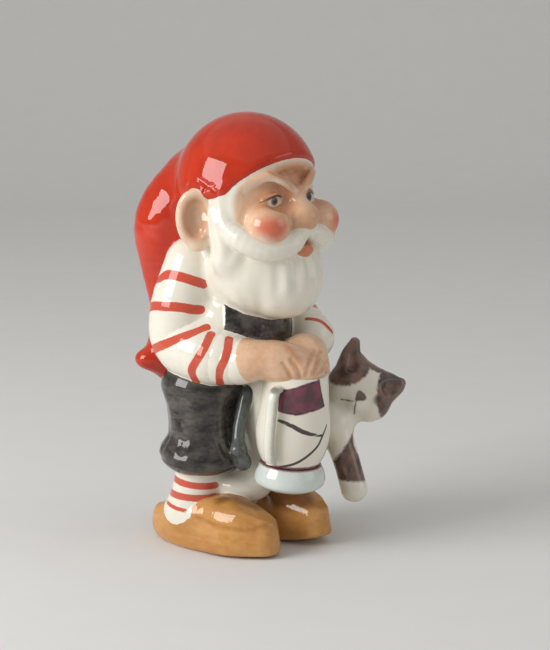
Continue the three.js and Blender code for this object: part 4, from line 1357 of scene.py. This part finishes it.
def face_marks(c):
    """The face paint, over the skin."""
    sockets = both(lambda side: egg((side * 8.6, -24.4, 105.4), (6.4, 5, 4.6)))
    forehead = egg((0, -24.6, 111.2), (9, 4, 4.4))
    band = half_space((0, -25.25, 116.6), (0, -0.88, -1))
    whites = both(lambda side: egg((side * 7.6, -24, 104.9), (2.8, 2.4, 1.35), (0, side * 8, 0)))
    iris = both(lambda side: egg((side * 7.6 - 0.35, -24.3, 105.1), (1.35, 2, 1.3)))
    pupil = both(lambda side: egg((side * 7.6 - 0.35, -24.4, 105.1), (0.75, 2, 0.75)))
    lash = both(
        lambda side: limb(
            [
                (side * 4.6, -24.6, 105.5, 0.22),
                (side * 7.4, -24.6, 106.6, 0.42),
                (side * 10.2, -23.1, 105.7, 0.26),
                (side * 12.2, -21.2, 104.4, 0.1),
            ]
        )
    )
    brows = both(
        lambda side: limb(
            [
                (side * 14.6, -18.4, 108.2, 0.9),
                (side * 13, -20.4, 109.6, 0.9),
                (side * 8.4, -24.9, 111, 0.8),
                (side * 2.4, -27, 107.8, 0.6),
            ]
        )
    )
    furrows = strokes(
        (0.5, [(-9.7, -23.6, 113.4), (-8, -25.3, 112.4), (-5.9, -26.7, 110.5), (-3.7, -27.1, 108.3)]),
        (0.5, [(2.7, -24.3, 109.7), (6.7, -24.2, 112.7), (12.8, -20.9, 113.8)]),
        (0.3, [(-2.7, -23.5, 113.3), (-0.6, -23.3, 112.2), (2.6, -23.3, 113)]),
    )
    nose = egg((0, -30.6, 99.8), (6.6, 5.6, 4.2))
    folds = both(lambda side: limb([(side * 4.8, -28.2, 102, 0.4), (side * 5.4, -28.8, 98.4, 0.5)]))
    return [
        # The tan in the eye sockets, in the furrows of the forehead and in the folds beside the nose is painted
        # shade.
        Mark("sockets", sockets, c.tan, 3, 0.75, 0.3),
        Mark("forehead", forehead, c.tan, 2.4, 0.55, 0.3),
        Mark("furrows", furrows, c.tan, 0.6, 0.85, 0.2),
        Mark("nose", nose, c.tan, 2.6, 0.45, 0.3),
        Mark("folds", folds, c.tan, 0.8, 0.7, 0.2),
        blush_mark(c),
        Mark("band", band, c.white, 0.6, 0.75, 0.2),
        Mark("brows", brows, c.white, 0.8, 0.7, 0.2),
        Mark("whites", whites, c.white, 0.25, 0.7, 0.05),
        Mark("iris", iris, c.iris, 0.2, 0.95, 0.04),
        Mark("pupil", pupil, c.ink, 0.2, 0.95, 0.04),
        Mark("lash", lash, c.ink, 0.16, 0.85, 0.05),
    ]


class GNOME_OT_head(GnomeOperator):
    """The face with its painted eyes and cheeks, and the ears"""

    bl_idname = "gnome.head"
    bl_label = "Head"

    def execute(self, context):
        c = context.scene.gnome_colours
        area = face_area()
        hair = Mark("hair", lambda p: -area(p), c.white, 1.1, 1.0, 0.3)
        marks = [*face_marks(c), hair]
        model(context, "head", 0.34, Coat(c.skin, c.tan, 0.3, marks, 200))
        for side, name in ((-1, "right"), (1, "left")):
            bowl = egg((side * 22, -6, 100), (4, 3, 6.8), (8, 0, side * 50))
            marks = [Mark("bowl", bowl, c.tan, 2, 0.7, 0.2)]
            model(context, "ear_" + name, 0.36, Coat(c.skin, c.white, 0.55, marks, 120))
        return {"FINISHED"}


class GNOME_OT_beard(GnomeOperator):
    """The white beard, the moustache and the lower lip"""

    bl_idname = "gnome.beard"
    bl_label = "Beard"

    def execute(self, context):
        c = context.scene.gnome_colours
        area = face_area()
        # Painted shade in the hollow of the mouth, above the lower lip.
        mouth = egg((0, -29.2, 92.2), (3, 2.8, 1.6))
        marks = [Mark("skin", area, c.skin, 1.1, 1.0, 0.3), Mark("mouth", mouth, c.deep_umber, 0.6, 0.8, 0.1)]
        model(context, "beard", 0.42, porcelain(c, marks))
        cheeks = both(lambda side: egg((side * 14, -27, 98.8), (6.3, 7.4, 4.4)))
        marks = [Mark("skin", cheeks, c.skin, 0.9, 1.0, 0.3), blush_mark(c)]
        model(context, "moustache", 0.38, porcelain(c, marks))
        model(context, "lower_lip", 0.3, Coat(c.lip, c.tan, 0.6, [], 400))
        return {"FINISHED"}


class GNOME_OT_cap(GnomeOperator):
    """The red stocking cap"""

    bl_idname = "gnome.cap"
    bl_label = "Cap"

    def execute(self, context):
        c = context.scene.gnome_colours
        for node in ("cap_crown", "cap_tail"):
            coat = Coat(c.red, c.deep_red, 0.6, [], 90, (1, 1, 0.6), 0.25)
            model(context, node, 0.55, coat)
        return {"FINISHED"}


def on_wall(shape):
    """A shape drawn on the jug's unrolled wall: u runs from the front to the gnome's left, and v up."""
    inverse = np.array(JUG_PLACE.inverted(), np.float32)

    def distance(p):
        q = p @ inverse[:3, :3].T + inverse[:3, 3]
        return shape(11 * np.arctan2(q[:, 0], -q[:, 1]), q[:, 2])

    return distance


def drawn(points):
    """A brush line through points (u, v, half width)."""
    line = limb([(u, v, 0, half) for u, v, half in points], (1, 1, 0), 6)
    return lambda u, v: line(np.stack([u, v, np.zeros_like(u)], -1).astype(np.float32))


def outlined(corners):
    """A flat patch with these corners, in order round it."""
    ends = np.array(corners)

    def distance(u, v):
        nearest = np.full(len(u), FAR)
        within = np.zeros(len(u), bool)
        for a, b in zip(ends, np.roll(ends, -1, 0)):
            along = b - a
            t = np.clip(((u - a[0]) * along[0] + (v - a[1]) * along[1]) / (along @ along), 0, 1)
            nearest = np.minimum(nearest, np.hypot(u - a[0] - t * along[0], v - a[1] - t * along[1]))
            if along[1] != 0:
                crossing = (a[1] > v) != (b[1] > v)
                within ^= crossing & (u < a[0] + along[0] * (v - a[1]) / along[1])
        return np.where(within, -nearest, nearest)

    return distance


class GNOME_OT_jug(GnomeOperator):
    """The jug with its foot, handle and the wall of porcelain that carries it"""

    bl_idname = "gnome.jug"
    bl_label = "Jug"

    def execute(self, context):
        c = context.scene.gnome_colours
        size = Millimetres(context.scene.gnome_sizes)
        model(context, "jug_support", 0.5, porcelain(c))
        piece, points = self.turn("jug_body", body_profile(size))
        dress(piece, points, "jug_body", porcelain(c, self.body_marks(c)))
        piece, points = self.turn("jug_foot", foot_profile(size))
        line = on_wall(lambda u, v: np.abs(v - JUG_FOOT_TOP + 0.2) - 0.3)
        marks = [Mark("line", line, c.maroon, 0.2, 0.8, 0.2)]
        dress(piece, points, "jug_foot", Coat(c.teal, c.white, 0.5, marks, 200))
        piece, points = self.handle(size)
        dot = egg(tuple(handle_route(size)[1] + Vector((-0.2, -0.2, 0.8))), (1.3, 1.3, 1.3))
        # Painted shade down the side of the handle toward the front.
        edge = on_wall(lambda u, v: -14.5 - u)
        marks = [Mark("dot", dot, c.slate, 0.6, 0.8, 0.2), Mark("edge", edge, c.slate, 0.5, 0.4, 0.3)]
        dress(piece, points, "jug_handle", Coat(c.white, c.teal, 0.4, marks))
        return {"FINISHED"}

    def turn(self, node, profile):
        """A thrown piece: the profile turned about the jug's axis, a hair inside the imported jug's wall."""
        rings = 160
        curve = eased([(*point, 0, 0) for point in profile], 10)[:, :2]
        curve = np.vstack([(0.0, curve[0, 1]), (curve[0, 0] - 0.4, curve[0, 1]), curve])
        curve = np.vstack([curve, (curve[-1, 0] - 0.4, curve[-1, 1]), (0.0, curve[-1, 1])])
        points = [JUG_PLACE @ Vector((0, 0, curve[0, 1]))]
        for radius, height in curve[1:-1]:
            for i in range(rings):
                a = 2 * math.pi * i / rings
                r = radius * JUG_EASE
                points.append(JUG_PLACE @ Vector((r * math.cos(a), r * math.sin(a), height)))
        points.append(JUG_PLACE @ Vector((0, 0, curve[-1, 1])))
        levels = len(curve) - 2
        faces = []
        for i in range(rings):
            j = (i + 1) % rings
            faces.append((0, 1 + j, 1 + i))
            for level in range(levels - 1):
                low = 1 + level * rings
                faces.append((low + i, low + j, low + rings + j, low + rings + i))
            top = 1 + (levels - 1) * rings
            faces.append((top + i, top + j, len(points) - 1))
        vertices = np.array([tuple(point) for point in points])
        return make_mesh(node + "_glazed", vertices, faces), vertices

    def handle(self, size):
        """A pulled strap swept along its route."""
        route = eased([(*point, 0) for point in handle_route(size)], 8)[:, :3]
        sides = 24
        wide = size.handle_width / 2
        across = np.array([math.sin(HANDLE_ANGLE), -math.cos(HANDLE_ANGLE), 0])
        points = []
        for i, middle in enumerate(route):
            ahead = route[min(i + 1, len(route) - 1)] - route[max(i - 1, 0)]
            ahead /= np.linalg.norm(ahead)
            side = across - ahead * (across @ ahead)
            side /= np.linalg.norm(side)
            out = np.cross(side, ahead)
            for n in range(sides):
                a = 2 * math.pi * n / sides
                points.append(middle + side * wide * math.cos(a) + out * HANDLE_THICK * math.sin(a))
        faces = []
        for i in range(len(route) - 1):
            for n in range(sides):
                m = (n + 1) % sides
                faces.append((i * sides + n, i * sides + m, (i + 1) * sides + m, (i + 1) * sides + n))
        faces.append(tuple(range(sides - 1, -1, -1)))
        faces.append(tuple((len(route) - 1) * sides + n for n in range(sides)))
        vertices = np.array(points)
        return make_mesh("jug_handle_glazed", vertices, faces), vertices

    def body_marks(self, c):
        panel = on_wall(
            outlined([(-14.9, 30.4), (-14, 31.6), (-10.6, 32.4), (-6.6, 33.8), (-0.9, 35), (0.1, 31), (1.9, 26.5),
                      (-4.5, 25.5), (-8.9, 24.5), (-13.2, 24.9), (-15, 25.1), (-15.2, 28.3)])
        )
        rule = on_wall(
            drawn([(-14.4, 22.7, 0.5), (-10.2, 21.5, 0.62), (-6.5, 19.8, 0.66), (-1.8, 18.5, 0.4), (0.4, 18.1, 0.42)])
        )
        curve = on_wall(
            drawn([(2.9, 21, 0.3), (0.4, 17.9, 0.4), (-1.4, 15, 0.42), (-5.1, 11.8, 0.44), (-8.8, 9.6, 0.44),
                   (-13.8, 8.1, 0.36)])
        )
        line = on_wall(lambda u, v: np.abs(v - JUG_FOOT_TOP - 0.5) - 0.4)
        thin = on_wall(drawn([(-17.9, 30.4, 0.2), (-18, 28, 0.28), (-17.8, 25.6, 0.15)]))
        return [
            Mark("panel", panel, c.purple, 0.25, 0.95, 0.2, c.deep_purple),
            Mark("panel_edge", lambda p: np.abs(panel(p) + 0.3) - 0.25, c.deep_purple, 0.3, 0.8, 0.1),
            Mark("rule", rule, c.ink, 0.12, 0.95, 0.06),
            Mark("curve", curve, c.ink, 0.12, 0.95, 0.03),
            Mark("thin", thin, c.maroon, 0.15, 0.85, 0.05),
            Mark("line", line, c.maroon, 0.2, 0.85, 0.2),
        ]


class GNOME_OT_cat(GnomeOperator):
    """The cat held under the left arm"""

    bl_idname = "gnome.cat"
    bl_label = "Cat"

    def execute(self, context):
        c = context.scene.gnome_colours
        model(context, "cat_head", 0.38, porcelain(c, self.head_marks(c)))
        patches = any_of(egg((27, -2, 38), (8, 7, 12)), egg((22, 14, 42), (10, 7, 9)))
        marks = [Mark("patches", patches, c.fur, 0.5, 0.95, 0.6, c.deep_fur)]
        model(context, "cat_body", 0.5, porcelain(c, marks))
        stocking_top = half_space((27, -25, 16.8), (-0.1, 0, -1))
        # A spot of the foreleg left white in the brown.
        white_spot = egg((29.5, -24.5, 27.5), (2.2, 4, 3.4))
        shoulder = half_space((29.1, -23.5, 31.4), (-5.58, 6.42, 6.04))
        brown = carve(0.5, common(0.5, stocking_top, shoulder), white_spot)
        marks = [Mark("patches", brown, c.fur, 0.5, 0.95, 0.5, c.deep_fur)]
        model(context, "cat_foreleg", 0.42, porcelain(c, marks))
        for node in ("cat_hind_leg", "cat_tail"):
            patches = any_of(egg((28, 12, 38), (8, 8, 8)), egg((28, 16, 28), (7, 6, 5)))
            marks = [Mark("patches", patches, c.fur, 0.5, 0.95, 0.6, c.deep_fur)]
            model(context, node, 0.45, porcelain(c, marks))
        return {"FINISHED"}

    def head_marks(self, c):
        near = egg(on_cat_head(-8.8, 5.5, 3.5), (7.6, 7.6, 8.2))
        far = egg(on_cat_head(9.4, 4.5, 2.5), (7.6, 7.6, 8.4))
        back = egg(on_cat_head(0, 6, -9), (14, 12, 12))
        eyes = any_of(egg((27.7, -21.2, 50.1), (2, 2, 2.2)), egg((32.6, -30.4, 41.5), (1.4, 1.4, 1.5)))
        nose = strokes(
            (0.55, [(27.4, -26.2, 42), (28.3, -26.5, 44.2), (29.3, -27.8, 42.3), (27.4, -26.2, 42)]),
            (0.95, [(28.3, -26.9, 42.5), (28.4, -26.8, 43.1)]),
        )
        mouth = strokes(
            (0.27, [(25.8, -21.4, 41.6), (26.2, -23.8, 41.5), (27.2, -26.2, 41.4)]),
            (0.27, [(27.3, -26.2, 41.6), (27, -25.8, 39.6), (28.5, -24.4, 37)]),
        )
        return [
            Mark("patches", any_of(near, far, back), c.fur, 0.5, 0.95, 0.6, c.deep_fur),
            Mark("eyes", eyes, c.deep_fur, 1, 0.85, 0.2),
            Mark("nose", nose, c.fur, 0.3, 0.9, 0.1, c.deep_fur),
            Mark("mouth", mouth, c.deep_fur, 0.16, 0.8, 0.05),
        ]


CAMERA_AZIMUTH = -49
CAMERA_ELEVATION = 9.6
CAMERA_DISTANCE = 600
CAMERA_AIM = (8.5, -9.74, 65.5)
SENSOR_WIDTH = 36
FOCAL_PIXELS = 2000
PICTURE_PIXELS = 650


class GNOME_OT_stage(GnomeOperator):
    """Floor, backdrop, lamps and camera"""

    bl_idname = "gnome.stage"
    bl_label = "Stage"

    def execute(self, context):
        self.floor()
        self.lamps()
        self.world(context.scene)
        self.camera(context.scene)
        context.scene.view_settings.view_transform = "Standard"
        return {"FINISHED"}

    def floor(self):
        mesh = bpy.data.meshes.new("floor")
        near, far, tall, wide, bend = -1.2, 1.4, 1.6, 3.0, 0.5
        run = [(near, 0.0), (far - bend, 0.0)]
        run += [
            (far - bend + bend * math.sin(a), bend - bend * math.cos(a))
            for a in [math.pi / 2 * i / 12 for i in range(1, 13)]
        ]
        run.append((far, tall))
        turn = Matrix.Rotation(math.radians(CAMERA_AZIMUTH), 4, "Z")
        points = [turn @ Vector((x, y, z)) for y, z in run for x in (-wide, wide)]
        faces = [(2 * i, 2 * i + 1, 2 * i + 3, 2 * i + 2) for i in range(len(run) - 1)]
        mesh.from_pydata(points, [], faces)
        mesh.polygons.foreach_set("use_smooth", [True] * len(mesh.polygons))
        floor = bpy.data.objects.new("floor", mesh)
        bpy.context.collection.objects.link(floor)
        tree = Tree("floor_paper")
        grain = tree.noise(60, 2.0)
        shade = tree.mix(grain, srgb(226, 225, 222), srgb(230, 229, 226))
        shader = tree.node(
            "ShaderNodeBsdfPrincipled",
            None,
            {"Base Color": shade, "Roughness": 0.85, "Specular IOR Level": 0.2},
        )
        tree.node("ShaderNodeOutputMaterial", None, {"Surface": shader})
        mesh.materials.append(tree.material)

    def lamp(self, name, place, aim, size, power):
        light = bpy.data.lights.new(name, "AREA")
        light.shape = "RECTANGLE"
        light.size, light.size_y = size
        light.energy = power
        lamp = bpy.data.objects.new(name, light)
        lamp.location = place
        lamp.rotation_euler = (Vector(aim) - Vector(place)).to_track_quat("-Z", "Y").to_euler()
        bpy.context.collection.objects.link(lamp)

    def lamps(self):
        self.lamp("window", (-0.62, 0.225, 0.33), (0, 0, 0.08), (0.44, 0.4), 3.9)
        self.lamp("fill", (0.35, -0.75, 0.35), (0, 0, 0.07), (0.5, 0.5), 0.8)
        self.lamp("top", (0, 0.1, 1.3), (0, 0, 0.07), (2.6, 2.6), 4.6)

    def world(self, scene):
        world = bpy.data.worlds.new("studio")
        world.use_nodes = True
        world.node_tree.nodes["Background"].inputs["Color"].default_value = (1.0, 1.0, 1.0, 1.0)
        world.node_tree.nodes["Background"].inputs["Strength"].default_value = 0.36
        scene.world = world

    def camera(self, scene):
        azimuth, elevation = math.radians(CAMERA_AZIMUTH), math.radians(CAMERA_ELEVATION)
        back = Vector(
            (
                math.sin(azimuth) * math.cos(elevation),
                -math.cos(azimuth) * math.cos(elevation),
                math.sin(elevation),
            )
        )
        aim = Vector(CAMERA_AIM) + Vector(design_shift())
        lens = bpy.data.cameras.new("camera")
        lens.sensor_width = SENSOR_WIDTH
        lens.lens = SENSOR_WIDTH * FOCAL_PIXELS / PICTURE_PIXELS
        lens.clip_start = 0.01
        camera = bpy.data.objects.new("camera", lens)
        camera.location = (aim + back * CAMERA_DISTANCE) * MM
        camera.rotation_euler = back.to_track_quat("Z", "Y").to_euler()
        bpy.context.collection.objects.link(camera)
        scene.camera = camera


PIECES = (
    GNOME_OT_legs,
    GNOME_OT_trunk,
    GNOME_OT_arms,
    GNOME_OT_head,
    GNOME_OT_beard,
    GNOME_OT_cap,
    GNOME_OT_jug,
    GNOME_OT_cat,
    GNOME_OT_stage,
)


class GNOME_PT_panel(bpy.types.Panel):
    """The figurine's pieces, sizes and colours"""

    bl_idname = "GNOME_PT_panel"
    bl_label = "Porcelain Gnome"
    bl_space_type = "VIEW_3D"
    bl_region_type = "UI"
    bl_category = "Gnome"

    def draw(self, context):
        column = self.layout.column(align=True)
        for operator in PIECES:
            column.operator(operator.bl_idname)
        for group, data in (
            (GNOME_PG_sizes, context.scene.gnome_sizes),
            (GNOME_PG_colours, context.scene.gnome_colours),
        ):
            column = self.layout.column(align=True)
            for name in group.__annotations__:
                column.prop(data, name)


CLASSES = (GNOME_PG_sizes, GNOME_PG_colours, *PIECES, GNOME_PT_panel)


def register():
    for item in CLASSES:
        bpy.utils.register_class(item)
    bpy.types.Scene.gnome_sizes = PointerProperty(type=GNOME_PG_sizes)
    bpy.types.Scene.gnome_colours = PointerProperty(type=GNOME_PG_colours)


def unregister():
    del bpy.types.Scene.gnome_colours
    del bpy.types.Scene.gnome_sizes
    for item in reversed(CLASSES):
        bpy.utils.unregister_class(item)


def main():
    register()
    bpy.ops.gnome.legs()
    bpy.ops.gnome.trunk()
    bpy.ops.gnome.arms()
    bpy.ops.gnome.head()
    bpy.ops.gnome.beard()
    bpy.ops.gnome.cap()
    bpy.ops.gnome.jug()
    bpy.ops.gnome.cat()
    bpy.ops.gnome.stage()


if __name__ == "__main__":
    main()
